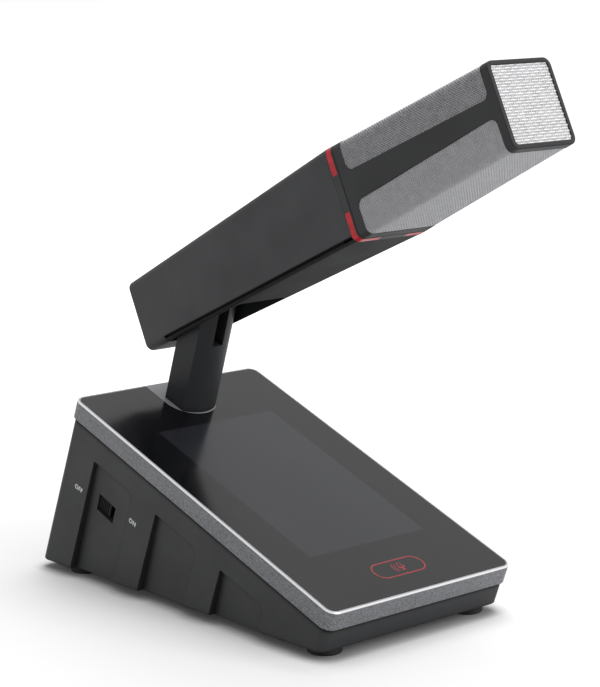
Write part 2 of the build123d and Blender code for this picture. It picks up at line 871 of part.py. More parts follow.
# Hinge: a pin pressed into the fork, and a friction washer on each side of the bracket's lug
hinge_side = Plane(origin=hinge, x_dir=slope_direction, z_dir=(1, 0, 0))
with BuildPart() as hinge_pin:
    with BuildSketch(hinge_side):
        Circle(pin_radius)
    extrude(amount=neck_width / 2 - pin_end_recess, both=True)
hinge_pin.part.label = "hinge_pin"
export_step(hinge_pin.part, "parts/hinge_pin.step")

for name, side in (("friction_washer_left", -1), ("friction_washer_right", 1)):
    with BuildPart() as washer:
        with BuildSketch(hinge_side.offset(side * slot_width / 2)):
            Circle(washer_radius)
            Circle(pin_radius + pin_play, mode=Mode.SUBTRACT)
        extrude(amount=-side * washer_thickness)
    washer.part.label = name
    export_step(washer.part, "parts/" + name + ".step")

# Tilt bracket: a plate screwed to four bosses in the shell's roof, with the lug under it
bracket_under = bracket_top - bracket_thickness
with BuildPart() as tilt_bracket:
    with BuildSketch(bar_plan.offset(bracket_top)):
        with Locations((0, hinge_to_ring)):
            RectangleRounded(bracket_width, bracket_length, bracket_corner_radius)
        with Locations(*bracket_screw_places):
            Circle(bracket_screw_radius + screw_play, mode=Mode.SUBTRACT)
    extrude(amount=-bracket_thickness)
    with BuildSketch(bar_side):
        with Locations((-hinge_to_ring, -hinge_drop)):
            Circle(lug_radius)
            Rectangle(2 * lug_radius, bracket_under + hinge_drop, align=(Align.CENTER, Align.MIN))
        with Locations((-hinge_to_ring, -hinge_drop)):
            Circle(pin_radius + pin_play, mode=Mode.SUBTRACT)
    extrude(amount=lug_width / 2, both=True)
tilt_bracket.part.label = "tilt_bracket"
export_step(tilt_bracket.part, "parts/tilt_bracket.step")

bracket_screws = fasteners(
    bar_ceiling.offset(-bracket_under),
    [(across, -along) for across, along in bracket_screw_places],
    bracket_screw_radius,
    bracket_screw_length,
    bracket_screw_head_radius,
    bracket_screw_head_height,
)
bracket_screws.label = "bracket_screws"
export_step(bracket_screws, "parts/bracket_screws.step")

# Body shell: the bar's rear part, open below as far as the lip behind the neck
cover_length = body_length - rear_lip_length
shell_core = bar_form(shell_wall - body_length, 0, shell_wall)
boss_top = bar_height(-hinge_to_ring) / 2 - shell_wall / 2
with BuildPart() as body_shell:
    add(bar_form(-body_length, 0, 0))
    fillet(faces().sort_by(Axis(bar.origin, bar.z_dir))[0].edges(), radius=rear_edge_radius)
    add(shell_core, mode=Mode.SUBTRACT)
    add(underside_slab(-cover_length, 0, -overrun, cover_height), mode=Mode.SUBTRACT)
    with BuildSketch(bar_plan.offset(bracket_top)):
        with Locations(*bracket_screw_places):
            Circle(bracket_boss_radius)
    extrude(amount=boss_top - bracket_top)
    with BuildSketch(bar_plan.offset(bracket_top)):
        with Locations(*bracket_screw_places):
            Circle(bracket_screw_radius + screw_play)
    extrude(amount=bracket_screw_length - bracket_thickness, mode=Mode.SUBTRACT)
body_shell.part.label = "body_shell"
export_step(body_shell.part, "parts/body_shell.step")

# Bottom cover: a plate inset from the shell, so that a dark groove runs above it, with rims that go
# up inside the side walls and a slot round the neck that is open towards the lip
rim_inset = shell_wall + fit_gap
rim_root = (cover_inset + cover_thickness) / 2
slot_inset = rim_inset + cover_rim_wall
cover_end = fit_gap - cover_length
cover_slot_start = cover_slot_reach - hinge_to_ring
rim_start = -spigot_length - fit_gap
rims = plan_form(cover_end, rim_start, rim_inset) - plan_form(cover_end, rim_start, slot_inset)
cover_slot = plan_form(-body_length, cover_slot_start, slot_inset)
upright_edges = cover_slot.edges().filter_by(Axis(bar.origin, bar_up))
slot_corners = upright_edges.sort_by(Axis(bar.origin, bar.z_dir))[-2:]
with BuildPart() as bottom_cover:
    add(bar_form(cover_end, -fit_gap, cover_inset, (cover_edge_radius, cover_front_radius)))
    add(underside_slab(cover_end, -fit_gap, -overrun, cover_thickness), mode=Mode.INTERSECT)
    add(rims & underside_slab(cover_end, rim_start, rim_root, cover_rim_height))
    add(cover_slot.fillet(cover_slot_radius, slot_corners), mode=Mode.SUBTRACT)
bottom_cover.part.label = "bottom_cover"
export_step(bottom_cover.part, "parts/bottom_cover.step")

# Light ring: a collar between body and head, with a spigot into the body, four lit corners let in,
# and a bevel that makes a fine seam with the head frame's own
ring_bevel = light_ring_length - seam_chamfer
frame_bevel = light_ring_length + seam_chamfer


def light_corner(side, level, play):
    """One lit segment that wraps round a corner of the bar, drawn in by play."""
    start = light_start + play
    end = light_start + light_width - play
    with BuildPart() as corner:
        with BuildSketch(bar):
            with Locations((side * (light_gap_across / 2 + play), level * (light_gap_up / 2 + play))):
                Rectangle(
                    ring_width,
                    ring_height,
                    align=(Align.MIN if side > 0 else Align.MAX, Align.MIN if level > 0 else Align.MAX),
                )
        extrude(amount=light_ring_length)
        add(bar_form(start, end, 0) - bar_form(start, end, light_depth - play), mode=Mode.INTERSECT)
    return corner.part


light_corners = {
    "light_segment_upper_left": (-1, 1),
    "light_segment_upper_right": (1, 1),
    "light_segment_lower_left": (-1, -1),
    "light_segment_lower_right": (1, -1),
}
with BuildPart() as light_ring:
    add(bar_form(0, ring_bevel, 0))
    add(bar_form(ring_bevel, light_ring_length, 0, end_inset=seam_chamfer))
    for side, level in light_corners.values():
        add(light_corner(side, level, 0), mode=Mode.SUBTRACT)
    add(
        bar_form(-spigot_length, 0, rim_inset)
        - underside_slab(-spigot_length - overrun, 0, -overrun, cover_height)
    )
    add(bar_form(-spigot_length, 0, light_ring_wall), mode=Mode.SUBTRACT)
    add(bar_form(0, light_ring_length, light_ring_wall), mode=Mode.SUBTRACT)
light_ring.part.label = "light_ring"
export_step(light_ring.part, "parts/light_ring.step")

for name, (side, level) in light_corners.items():
    segment = light_corner(side, level, light_play)
    segment.label = name
    export_step(segment, "parts/" + name + ".step")

# Head frame: a rear ring with a spigot, two side bars and a front rim, round two wrapped mesh windows
front_seat = head_length - front_mesh_recess - front_mesh_thickness
board_place = light_ring_length + spigot_flange
with BuildPart() as head_frame:
    add(bar_form(frame_bevel, head_length, 0))
    fillet(faces().sort_by(Axis(bar.origin, bar.z_dir))[-1].edges(), radius=front_edge_radius)
    add(bar_form(light_ring_length, frame_bevel, seam_chamfer, end_inset=0))
    add(bar_form(board_place, window_end, frame_wall), mode=Mode.SUBTRACT)
    add(bar_form(window_end, front_seat, frame_wall + front_seat_width), mode=Mode.SUBTRACT)
    add(bar_form(front_seat, head_length, frame_wall), mode=Mode.SUBTRACT)
    add(window_form(1, 0), mode=Mode.SUBTRACT)
    add(window_form(-1, 0), mode=Mode.SUBTRACT)
    add(bar_form(light_start, light_ring_length, light_ring_wall + fit_gap))
    add(bar_form(light_start, board_place, light_ring_wall + fit_gap + spigot_wall), mode=Mode.SUBTRACT)
head_frame.part.label = "head_frame"
export_step(head_frame.part, "parts/head_frame.step")

# Meshes: skins of woven wire that wrap over the top and under the bottom, and a flat one in front
mesh_skin = bar_form(window_start, window_end, mesh_inset) - bar_form(
    window_start, window_end, mesh_inset + mesh_thickness
)
for name, side in (("top_mesh", 1), ("bottom_mesh", -1)):
    with BuildPart() as mesh:
        add(window_form(side, mesh_play))
        add(mesh_skin, mode=Mode.INTERSECT)
    mesh.part.label = name
    export_step(mesh.part, "parts/" + name + ".step")

with BuildPart() as front_mesh:
    add(bar_form(front_seat, front_seat + front_mesh_thickness, frame_wall + fit_gap))
front_mesh.part.label = "front_mesh"
export_step(front_mesh.part, "parts/front_mesh.step")

# Inside the head: a board on the spigot's flange, the foam core that backs the meshes, and the
# holder with the capsule
foam_start = board_place + microphone_board_thickness
capsule_holder_place = head_length - capsule_setback
inside_inset = frame_wall + inside_play
with BuildPart() as microphone_board:
    add(bar_form(board_place, foam_start, inside_inset))
microphone_board.part.label = "microphone_board"
export_step(microphone_board.part, "parts/microphone_board.step")

capsule_front = capsule_holder_place + capsule_length
with BuildPart() as capsule_holder:
    add(bar_form(capsule_holder_place, capsule_holder_place + capsule_holder_thickness, inside_inset))
    with BuildSketch(bar.offset(capsule_holder_place)):
        Circle(capsule_radius)
    extrude(amount=capsule_holder_thickness, mode=Mode.SUBTRACT)
capsule_holder.part.label = "capsule_holder"
export_step(capsule_holder.part, "parts/capsule_holder.step")

with BuildPart() as capsule:
    with BuildSketch(bar.offset(capsule_holder_place)):
        Circle(capsule_radius)
    extrude(amount=capsule_length)
    with BuildSketch(bar.offset(capsule_front)):
        Circle(capsule_face_radius)
    extrude(amount=-capsule_face_depth, mode=Mode.SUBTRACT)
capsule.part.label = "capsule"
export_step(capsule.part, "parts/capsule.step")

with BuildPart() as foam_core:
    add(bar_form(foam_start, capsule_holder_place, frame_wall + foam_gap))
foam_core.part.label = "foam_core"
export_step(foam_core.part, "parts/foam_core.step")
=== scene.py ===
"""Conference delegate unit: finishes, woven wires, contacts, screws and printed marks on the CAD parts,
with the floor, the light and the camera."""

import json
from math import cos, pi, radians, sin

import bmesh
import bpy
from mathutils import Matrix, Vector


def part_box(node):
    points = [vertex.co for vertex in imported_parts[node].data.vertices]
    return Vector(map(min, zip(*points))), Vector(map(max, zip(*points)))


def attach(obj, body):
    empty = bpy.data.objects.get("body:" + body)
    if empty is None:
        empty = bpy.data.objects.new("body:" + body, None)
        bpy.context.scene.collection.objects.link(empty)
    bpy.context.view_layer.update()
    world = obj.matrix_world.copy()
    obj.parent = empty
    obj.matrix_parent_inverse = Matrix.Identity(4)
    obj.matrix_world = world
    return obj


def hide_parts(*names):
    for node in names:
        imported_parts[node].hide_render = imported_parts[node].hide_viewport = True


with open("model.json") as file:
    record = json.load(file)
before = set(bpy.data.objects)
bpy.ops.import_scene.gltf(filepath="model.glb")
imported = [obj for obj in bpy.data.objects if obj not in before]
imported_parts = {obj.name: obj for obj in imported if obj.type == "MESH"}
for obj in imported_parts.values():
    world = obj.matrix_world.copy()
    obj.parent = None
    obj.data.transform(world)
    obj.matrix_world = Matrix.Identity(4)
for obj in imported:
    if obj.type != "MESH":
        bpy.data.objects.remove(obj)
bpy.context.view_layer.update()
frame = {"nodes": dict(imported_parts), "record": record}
cad_parts = frame["nodes"]

mm = 0.001


# Places, worked out from the frame

panel_slope = radians(20.2)
bar_pitch = radians(26.0)
glass_thickness = 1.8 * mm
display_thickness = 4.6 * mm
display_shift = -0.5 * mm
hinge_to_ring = 115.8 * mm
hinge_drop = 2.6 * mm
head_length = 97.0 * mm
ring_width = 42.4 * mm
ring_height = 41.8 * mm
front_width = 36.8 * mm
front_height = 37.0 * mm
edge_radius = 3.6 * mm

sideways = Vector((1, 0, 0))
backwards = Vector((0, 1, 0))
upwards = Vector((0, 0, 1))
up_slope = Vector((0, cos(panel_slope), sin(panel_slope)))
off_panel = Vector((0, -sin(panel_slope), cos(panel_slope)))
bar_forward = Vector((0, -cos(bar_pitch), sin(bar_pitch)))
bar_up = Vector((0, sin(bar_pitch), cos(bar_pitch)))


def middle(part):
    """The middle of a CAD part's box."""
    low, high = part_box(part)
    return (low + high) / 2


def axes(origin, x_axis, y_axis, z_axis):
    """The placing of a piece that is drawn flat: its origin and where its own axes go."""
    return Matrix.Translation(origin) @ Matrix((x_axis, y_axis, z_axis)).transposed().to_4x4()


display_depth = glass_thickness + display_thickness / 2
panel_middle = middle("display_module") - up_slope * display_shift + off_panel * display_depth
panel_place = axes(panel_middle, sideways, up_slope, off_panel)
ring_middle = middle("hinge_pin") + bar_forward * hinge_to_ring + bar_up * hinge_drop


# Node and shader helpers

screen_white = 255
screen_knee = 0.04045
screen_slope = 12.92
screen_offset = 0.055
screen_power = 2.4
# The numbers of the sockets of a Mix node that mixes colours
mix_share, mix_first, mix_second, mixed_colour = 0, 6, 7, 2


def tone(red, green, blue):
    """A colour as it is picked on screen, 0 to 255, turned into the light values that shaders use."""
    light = []
    for picked in (red, green, blue):
        share = picked / screen_white
        if share <= screen_knee:
            light.append(share / screen_slope)
        else:
            light.append(((share + screen_offset) / (1 + screen_offset)) ** screen_power)
    return (*light, 1.0)


def darkened(colour, share):
    """A colour at a share of its light."""
    return (*(share * value for value in colour[:3]), 1.0)


def put(tree, kind, inputs=None, **settings):
    """Adds a node. An input is given a value, or another node's output to be linked to it."""
    made = tree.nodes.new(kind)
    for setting, value in settings.items():
        setattr(made, setting, value)
    for name, value in (inputs or {}).items():
        if isinstance(value, bpy.types.NodeSocket):
            tree.links.new(value, made.inputs[name])
        else:
            made.inputs[name].default_value = value
    return made


def calc(tree, operation, first, second=0.0, third=0.0):
    """A Math node's result."""
    made = put(tree, "ShaderNodeMath", {0: first, 1: second, 2: third}, operation=operation)
    return made.outputs[0]


def vector_calc(tree, operation, first, second):
    """The outputs of a Vector Math node."""
    return put(tree, "ShaderNodeVectorMath", {0: first, 1: second}, operation=operation).outputs


def blend_colour(tree, share, first, second):
    """A colour that goes from the first to the second as the share goes from 0 to 1."""
    inputs = {mix_share: share, mix_first: first, mix_second: second}
    made = put(tree, "ShaderNodeMix", inputs, data_type="RGBA", clamp_factor=True)
    return made.outputs[mixed_colour]


def stretch(tree, value, low, high, new_low=0.0, new_high=1.0):
    """A value's range moved to another range, held within it."""
    sockets = {"Value": value, "From Min": low, "From Max": high, "To Min": new_low, "To Max": new_high}
    return put(tree, "ShaderNodeMapRange", sockets, clamp=True).outputs[0]


def own_place(tree):
    """A point's place on its piece, which moves with the piece."""
    return put(tree, "ShaderNodeTexCoord").outputs["Object"]


def noise(tree, scale, detail):
    """A Noise node's value over the piece."""
    inputs = {"Vector": own_place(tree), "Scale": scale, "Detail": detail}
    return put(tree, "ShaderNodeTexNoise", inputs).outputs[0]


def link(tree, value, socket):
    """Links a value to a socket of a shader or of a group's end."""
    tree.links.new(value, socket)


def start_effect(name, inputs, outputs):
    """A new node group with named number inputs and outputs."""
    effect = bpy.data.node_groups.new(name, "ShaderNodeTree")
    for label, value in inputs.items():
        socket = effect.interface.new_socket(label, in_out="INPUT", socket_type="NodeSocketFloat")
        socket.default_value = value
    for label in outputs:
        effect.interface.new_socket(label, in_out="OUTPUT", socket_type="NodeSocketFloat")
    return effect, put(effect, "NodeGroupInput").outputs, put(effect, "NodeGroupOutput").inputs


def use_effect(tree, effect, **inputs):
    """A node group placed in a material, with its own values."""
    values = {label.replace("_", " ").capitalize(): value for label, value in inputs.items()}
    return put(tree, "ShaderNodeGroup", values, node_tree=effect).outputs


# Effects that several finishes share. A pair of values is where an effect starts and where it is full

usual_noise = (0.3, 0.7)
wide_noise = (0.2, 0.8)
sharp_noise = (0.35, 0.65)
fine_detail = 3.0
broad_detail = 4.0
dust_detail = 6.0
edge_turn = (0.995, 0.85)
edge_samples = 4
rub_scale = 180.0
rub_patches = (0.3, 0.6)
least_rub = 0.35
down_and_back = (0.0, 0.5, -0.87)
turned_away = (0.02, 0.12)
facing_up = (0.1, 1.0)
dust_patches = (0.35, 0.75)
shut_in_openness = (0.95, 0.55)
painted_shade_samples = 6


def make_grain():
    """Moulded or blasted grain: a fine height, and a broad unevenness of tone."""
    effect, given, result = start_effect(
        "grain", {"Grain size": 0.4 * mm, "Patch size": 20 * mm}, ("Height", "Shade")
    )
    fine = noise(effect, calc(effect, "DIVIDE", 1.0, given["Grain size"]), fine_detail)
    broad = noise(effect, calc(effect, "DIVIDE", 1.0, given["Patch size"]), broad_detail)
    link(effect, fine, result["Height"])
    link(effect, stretch(effect, broad, *usual_noise), result["Shade"])
    return effect


def make_edge_wear_and_shade():
    """Edges where the finish is rubbed, and edges that turn down and back, darkened as painted shade.
    """
    effect, given, result = start_effect(
        "edge_wear_and_shade", {"Edge width": 0.4 * mm, "Amount": 0.5}, ("Worn", "Painted edge shade")
    )
    rounding = put(effect, "ShaderNodeBevel", {"Radius": given["Edge width"]}, samples=edge_samples)
    rounded = rounding.outputs[0]
    flat = put(effect, "ShaderNodeNewGeometry").outputs["Normal"]
    at_edge = stretch(effect, vector_calc(effect, "DOT_PRODUCT", rounded, flat)["Value"], *edge_turn)
    patches = stretch(effect, noise(effect, rub_scale, fine_detail), *rub_patches, least_rub, 1.0)
    worn = calc(effect, "MULTIPLY", calc(effect, "MULTIPLY", at_edge, patches), given["Amount"])
    link(effect, worn, result["Worn"])
    # Painted shade on edges whose rounded normal turns down and back
    turn = vector_calc(effect, "SUBTRACT", rounded, flat)["Vector"]
    fall = vector_calc(effect, "DOT_PRODUCT", turn, down_and_back)["Value"]
    link(effect, stretch(effect, fall, *turned_away), result["Painted edge shade"])
    return effect


def make_dust():
    """A thin film of dust on what faces up."""
    effect, given, result = start_effect("dust", {"Amount": 0.1, "Patch size": 6 * mm}, ("Film",))
    normal = put(effect, "ShaderNodeNewGeometry").outputs["Normal"]
    rise = put(effect, "ShaderNodeSeparateXYZ", {0: normal}).outputs["Z"]
    specks = noise(effect, calc(effect, "DIVIDE", 1.0, given["Patch size"]), dust_detail)
    spread = stretch(effect, specks, *dust_patches)
    patches = calc(effect, "MULTIPLY", stretch(effect, rise, *facing_up), spread)
    link(effect, calc(effect, "MULTIPLY", patches, given["Amount"]), result["Film"])
    return effect


def make_weave():
    """Plain weave on three directions at once: thread height, for cloth linings."""
    effect, given, result = start_effect("weave", {"Thread size": 0.3 * mm}, ("Height",))
    parts = put(effect, "ShaderNodeSeparateXYZ", {0: own_place(effect)}).outputs
    turn = calc(effect, "DIVIDE", pi, given["Thread size"])
    waves = [
        calc(effect, "ABSOLUTE", calc(effect, "SINE", calc(effect, "MULTIPLY", part, turn)))
        for part in (parts["X"], parts["Y"], parts["Z"])
    ]
    height = calc(effect, "MAXIMUM", calc(effect, "MAXIMUM", waves[0], waves[1]), waves[2])
    link(effect, height, result["Height"])
    return effect


def make_painted_crevice_shade():
    """Painted shade: the colour of corners and gaps that little light gets into is darkened, 1 where
    the surface is closely shut in.
    """
    effect, given, result = start_effect("painted_crevice_shade", {"Reach": 3 * mm, "Amount": 1.0}, ("Painted shade",))
    openness = put(
        effect, "ShaderNodeAmbientOcclusion", {"Distance": given["Reach"]}, samples=painted_shade_samples
    ).outputs["AO"]
    shut_in = stretch(effect, openness, *shut_in_openness)
    link(effect, calc(effect, "MULTIPLY", shut_in, given["Amount"]), result["Painted shade"])
    return effect


grain = make_grain()
edge_wear_and_shade = make_edge_wear_and_shade()
painted_crevice_shade = make_painted_crevice_shade()
dust = make_dust()
weave = make_weave()


# Colours and sizes of the finishes

dust_colour = tone(150, 149, 146)
# Painted shade: the black that corners, gaps and shaded edges are darkened to
painted_shade_black = tone(5, 5, 6)
band_dark = tone(94, 95, 98)
band_light = tone(148, 149, 153)
# Painted highlight: the lighter grey given to faces that look off the panel
painted_top_light_grey = tone(170, 171, 175)
bare_aluminium = tone(190, 191, 194)
bright_aluminium = tone(245, 245, 247)
glass_black = tone(11, 12, 15)
display_grey = tone(36, 37, 43)
rubber_dark = tone(14, 14, 15)
rubber_pale = tone(24, 24, 25)
ink_thin = tone(232, 233, 234)
ink_full = tone(250, 250, 250)
mask_dark = tone(14, 62, 40)
mask_pale = tone(20, 80, 52)
track_green = tone(58, 120, 74)

# Painted shade: how dark the downturned edges are painted
painted_edge_shade_share = 0.9
plastic_patch_tone = 0.86
plastic_gloss_spread = 0.04
plastic_rub_gloss = 0.12
dusty_dullness = 0.5
metal_patch_tone = 0.88
metal_pit_tone = 0.4
metal_gloss_spread = 0.06
metal_rub_gloss = 0.1

band_height = 8.8 * mm
# Painted shade under the band: how far down the housing it reaches, where it is full, and how dark
band_shade_width = 3.4 * mm
band_shade_dark_share = 0.45
band_shade_gloom = 0.9
chamfer_lower_side = (0.45, 0.55)
chamfer_upper_side = (0.95, 0.85)
painted_top_light_side = (0.95, 0.98)
painted_top_light_share = 0.8
band_roughness = (0.55, 0.47)
chamfer_roughness = 0.12

display_half_width = 34.2 * mm
display_half_length = 54.0 * mm
window_edge = 0.2 * mm
wiped_patches = (0.2, 1.0)
glass_roughness = (0.14, 0.17)
window_dullness = 0.02

wire_gloss_spread = 0.08
foam_pore_scale = 1400.0
foam_pores = (0.1, 0.6)
rubber_roughness = (0.85, 0.7)
diffuser_roughness = (0.42, 0.34)
ink_roughness = (0.5, 0.65)
mask_roughness = (0.35, 0.5)


# Finishes


def start_finish(name, **shader_values):
    """A new material, its tree and its Principled shader, with the shader's plain values set."""
    material = bpy.data.materials.new(name)
    material.use_nodes = True
    tree = material.node_tree
    shader = tree.nodes["Principled BSDF"]
    for socket, value in shader_values.items():
        shader.inputs[socket.replace("_", " ")].default_value = value
    return material, tree, shader


def raise_surface(tree, shader, height, depth):
    """Feeds a height through a Bump node to the shader."""
    bump = put(tree, "ShaderNodeBump", {"Height": height, "Distance": depth, "Strength": 1.0})
    link(tree, bump.outputs[0], shader.inputs["Normal"])


def moulded_plastic(
    name, colour, worn_colour, roughness, grain_size, grain_depth, seam=None, **shader_values
):
    """Injection-moulded plastic with a fine spark-eroded grain, and painted shade in corners, gaps and
    on edges that turn down and back. A shade line, where given, is painted shade along the top of the
    housing under the band.
    """
    material, tree, shader = start_finish(name, **shader_values)
    surface = use_effect(tree, grain, grain_size=grain_size, patch_size=24 * mm)
    edges = use_effect(tree, edge_wear_and_shade, edge_width=0.6 * mm, amount=0.35)
    film = use_effect(tree, dust, amount=0.06, patch_size=3 * mm)["Film"]
    # Painted shade: corners, gaps, downturned edges and the shade line are darkened towards black
    shut_in = use_effect(tree, painted_crevice_shade, reach=4 * mm, amount=0.9)["Painted shade"]
    painted_shade = calc(tree, "MAXIMUM", shut_in, calc(tree, "MULTIPLY", edges["Painted edge shade"], painted_edge_shade_share))
    if seam:
        painted_shade = calc(tree, "MAXIMUM", painted_shade, seam(tree))
    worn = calc(tree, "MULTIPLY", edges["Worn"], calc(tree, "SUBTRACT", 1.0, edges["Painted edge shade"]))
    body = blend_colour(tree, surface["Shade"], darkened(colour, plastic_patch_tone), colour)
    rubbed = blend_colour(tree, worn, body, worn_colour)
    dusted = blend_colour(tree, film, rubbed, dust_colour)
    link(tree, blend_colour(tree, painted_shade, dusted, painted_shade_black), shader.inputs["Base Color"])
    dull, glossy = roughness + plastic_gloss_spread, roughness - plastic_gloss_spread
    gloss = stretch(tree, surface["Shade"], 0.0, 1.0, dull, glossy)
    smoothed = calc(tree, "SUBTRACT", gloss, calc(tree, "MULTIPLY", worn, plastic_rub_gloss))
    dulled = calc(tree, "ADD", smoothed, calc(tree, "MULTIPLY", film, dusty_dullness))
    link(tree, calc(tree, "MAXIMUM", dulled, painted_shade), shader.inputs["Roughness"])
    raise_surface(tree, shader, surface["Height"], grain_depth)
    return material


def blasted_metal(name, colour, worn_colour, roughness, grain_size, grain_depth, **shader_values):
    """Bead-blasted or cast metal, anodised, painted or bare, with painted shade in its corners and
    gaps.
    """
    material, tree, shader = start_finish(name, **{"Metallic": 1.0, **shader_values})
    surface = use_effect(tree, grain, grain_size=grain_size, patch_size=14 * mm)
    worn = use_effect(tree, edge_wear_and_shade, edge_width=0.3 * mm, amount=0.5)["Worn"]
    # Painted shade: corners and gaps are darkened towards black
    painted_shade = use_effect(tree, painted_crevice_shade, reach=3 * mm, amount=0.8)["Painted shade"]
    pits = stretch(tree, surface["Height"], *usual_noise, metal_pit_tone, 1.0)
    speckled = calc(tree, "MULTIPLY", surface["Shade"], pits)
    body = blend_colour(tree, speckled, darkened(colour, metal_patch_tone), colour)
    rubbed = blend_colour(tree, worn, body, worn_colour)
    link(tree, blend_colour(tree, painted_shade, rubbed, painted_shade_black), shader.inputs["Base Color"])
    glossy, dull = roughness - metal_gloss_spread, roughness + metal_gloss_spread
    gloss = stretch(tree, surface["Height"], *wide_noise, glossy, dull)
    smoothed = calc(tree, "SUBTRACT", gloss, calc(tree, "MULTIPLY", worn, metal_rub_gloss))
    link(tree, smoothed, shader.inputs["Roughness"])
    raise_surface(tree, shader, surface["Height"], grain_depth)
    return material


def panel_coordinates(tree):
    """Across, up the slope and off the panel, from the panel's middle."""
    turned = put(tree, "ShaderNodeMapping", {"Vector": own_place(tree)}, vector_type="TEXTURE")
    turned.inputs["Location"].default_value = panel_middle
    turned.inputs["Rotation"].default_value = (panel_slope, 0, 0)
    return put(tree, "ShaderNodeSeparateXYZ", {0: turned.outputs[0]}).outputs


def painted_shade_under_band(tree):
    """Painted shade: a dark line along the top of the housing, where it goes up inside the band and the
    band shades it.
    """
    height = panel_coordinates(tree)["Z"]
    shade_low, shade_full = -band_height - band_shade_width, -band_height - band_shade_dark_share * band_shade_width
    return stretch(tree, height, shade_low, shade_full, 0.0, band_shade_gloom)


def anodised_band(name):
    """The trim frame: blasted and anodised, with a bright cut chamfer round its upper edge, and a
    painted highlight that makes faces looking off the panel lighter.
    """
    material, tree, shader = start_finish(name, Metallic=0.25, Specular_IOR_Level=0.4)
    surface = use_effect(tree, grain, grain_size=0.55 * mm, patch_size=10 * mm)
    worn = use_effect(tree, edge_wear_and_shade, edge_width=0.25 * mm, amount=0.35)["Worn"]
    normal = put(tree, "ShaderNodeNewGeometry").outputs["Normal"]
    rise = vector_calc(tree, "DOT_PRODUCT", normal, off_panel)["Value"]
    over_side = stretch(tree, rise, *chamfer_lower_side)
    under_top = stretch(tree, rise, *chamfer_upper_side)
    cut = calc(tree, "MULTIPLY", over_side, under_top)
    speck = stretch(tree, surface["Height"], *sharp_noise)
    blasted = blend_colour(tree, speck, band_dark, band_light)
    # Painted highlight: faces that look off the panel are made lighter
    painted_top_light = stretch(tree, rise, *painted_top_light_side, 0.0, painted_top_light_share)
    top_lit = blend_colour(tree, painted_top_light, blasted, painted_top_light_grey)
    rubbed = blend_colour(tree, worn, top_lit, bare_aluminium)
    link(tree, blend_colour(tree, cut, rubbed, bright_aluminium), shader.inputs["Base Color"])
    gloss = stretch(tree, surface["Shade"], 0.0, 1.0, *band_roughness)
    link(tree, stretch(tree, cut, 0.0, 1.0, gloss, chamfer_roughness), shader.inputs["Roughness"])
    uncut_height = calc(tree, "MULTIPLY", surface["Height"], calc(tree, "SUBTRACT", 1.0, cut))
    raise_surface(tree, shader, uncut_height, depth=0.05 * mm)
    return material


def dark_glass(name):
    """Black backed glass; the display shows as a slightly paler window, with faint wiping marks."""
    material, tree, shader = start_finish(name, IOR=1.45)
    across, along = panel_coordinates(tree)["X"], panel_coordinates(tree)["Y"]
    from_middle = calc(tree, "SUBTRACT", along, display_shift)
    window_sides = [
        stretch(tree, calc(tree, "ABSOLUTE", distance), half_size, half_size - window_edge)
        for distance, half_size in ((across, display_half_width), (from_middle, display_half_length))
    ]
    window = calc(tree, "MULTIPLY", *window_sides)
    smears = use_effect(tree, grain, grain_size=1.2 * mm, patch_size=35 * mm)
    film = use_effect(tree, dust, amount=0.015, patch_size=1.5 * mm)["Film"]
    lit = blend_colour(tree, window, glass_black, display_grey)
    link(tree, blend_colour(tree, film, lit, dust_colour), shader.inputs["Base Color"])
    wiped = stretch(tree, smears["Shade"], *wiped_patches, *glass_roughness)
    dulled = calc(tree, "ADD", wiped, calc(tree, "MULTIPLY", window, window_dullness))
    link(tree, dulled, shader.inputs["Roughness"])
    return material


def steel_wire(name, colour, tarnish_colour, roughness, metallic):
    """Drawn steel wire with a little tarnish."""
    material, tree, shader = start_finish(name, Metallic=metallic)
    surface = use_effect(tree, grain, grain_size=0.15 * mm, patch_size=2.5 * mm)
    tarnished = blend_colour(tree, surface["Shade"], tarnish_colour, colour)
    link(tree, tarnished, shader.inputs["Base Color"])
    glossy, dull = roughness - wire_gloss_spread, roughness + wire_gloss_spread
    link(tree, stretch(tree, surface["Height"], *wide_noise, glossy, dull), shader.inputs["Roughness"])
    raise_surface(tree, shader, surface["Height"], depth=0.01 * mm)
    return material


def lining_cloth(name, colour, thread_colour):
    """Fine acoustic cloth behind the wires."""
    material, tree, shader = start_finish(name, Roughness=0.95)
    threads = use_effect(tree, weave, thread_size=0.28 * mm)["Height"]
    shade = use_effect(tree, grain, grain_size=0.2 * mm, patch_size=4 * mm)["Shade"]
    lit = blend_colour(tree, calc(tree, "MULTIPLY", threads, shade), colour, thread_colour)
    link(tree, lit, shader.inputs["Base Color"])
    raise_surface(tree, shader, threads, depth=0.06 * mm)
    return material


def open_foam(name, colour, pore_colour):
    """Open-cell foam."""
    material, tree, shader = start_finish(name, Roughness=1.0)
    cells = put(tree, "ShaderNodeTexVoronoi", {"Vector": own_place(tree), "Scale": foam_pore_scale})
    wall_height = cells.outputs["Distance"]
    open_share = stretch(tree, wall_height, *foam_pores)
    link(tree, blend_colour(tree, open_share, pore_colour, colour), shader.inputs["Base Color"])
    raise_surface(tree, shader, wall_height, depth=0.3 * mm)
    return material


def foot_rubber(name):
    """Soft black rubber, dusty where it has stood."""
    material, tree, shader = start_finish(name)
    surface = use_effect(tree, grain, grain_size=0.5 * mm, patch_size=5 * mm)
    film = use_effect(tree, dust, amount=0.2, patch_size=1.2 * mm)["Film"]
    body = blend_colour(tree, surface["Shade"], rubber_dark, rubber_pale)
    link(tree, blend_colour(tree, film, body, dust_colour), shader.inputs["Base Color"])
    gloss = stretch(tree, surface["Shade"], 0.0, 1.0, *rubber_roughness)
    link(tree, gloss, shader.inputs["Roughness"])
    raise_surface(tree, shader, surface["Height"], depth=0.08 * mm)
    return material


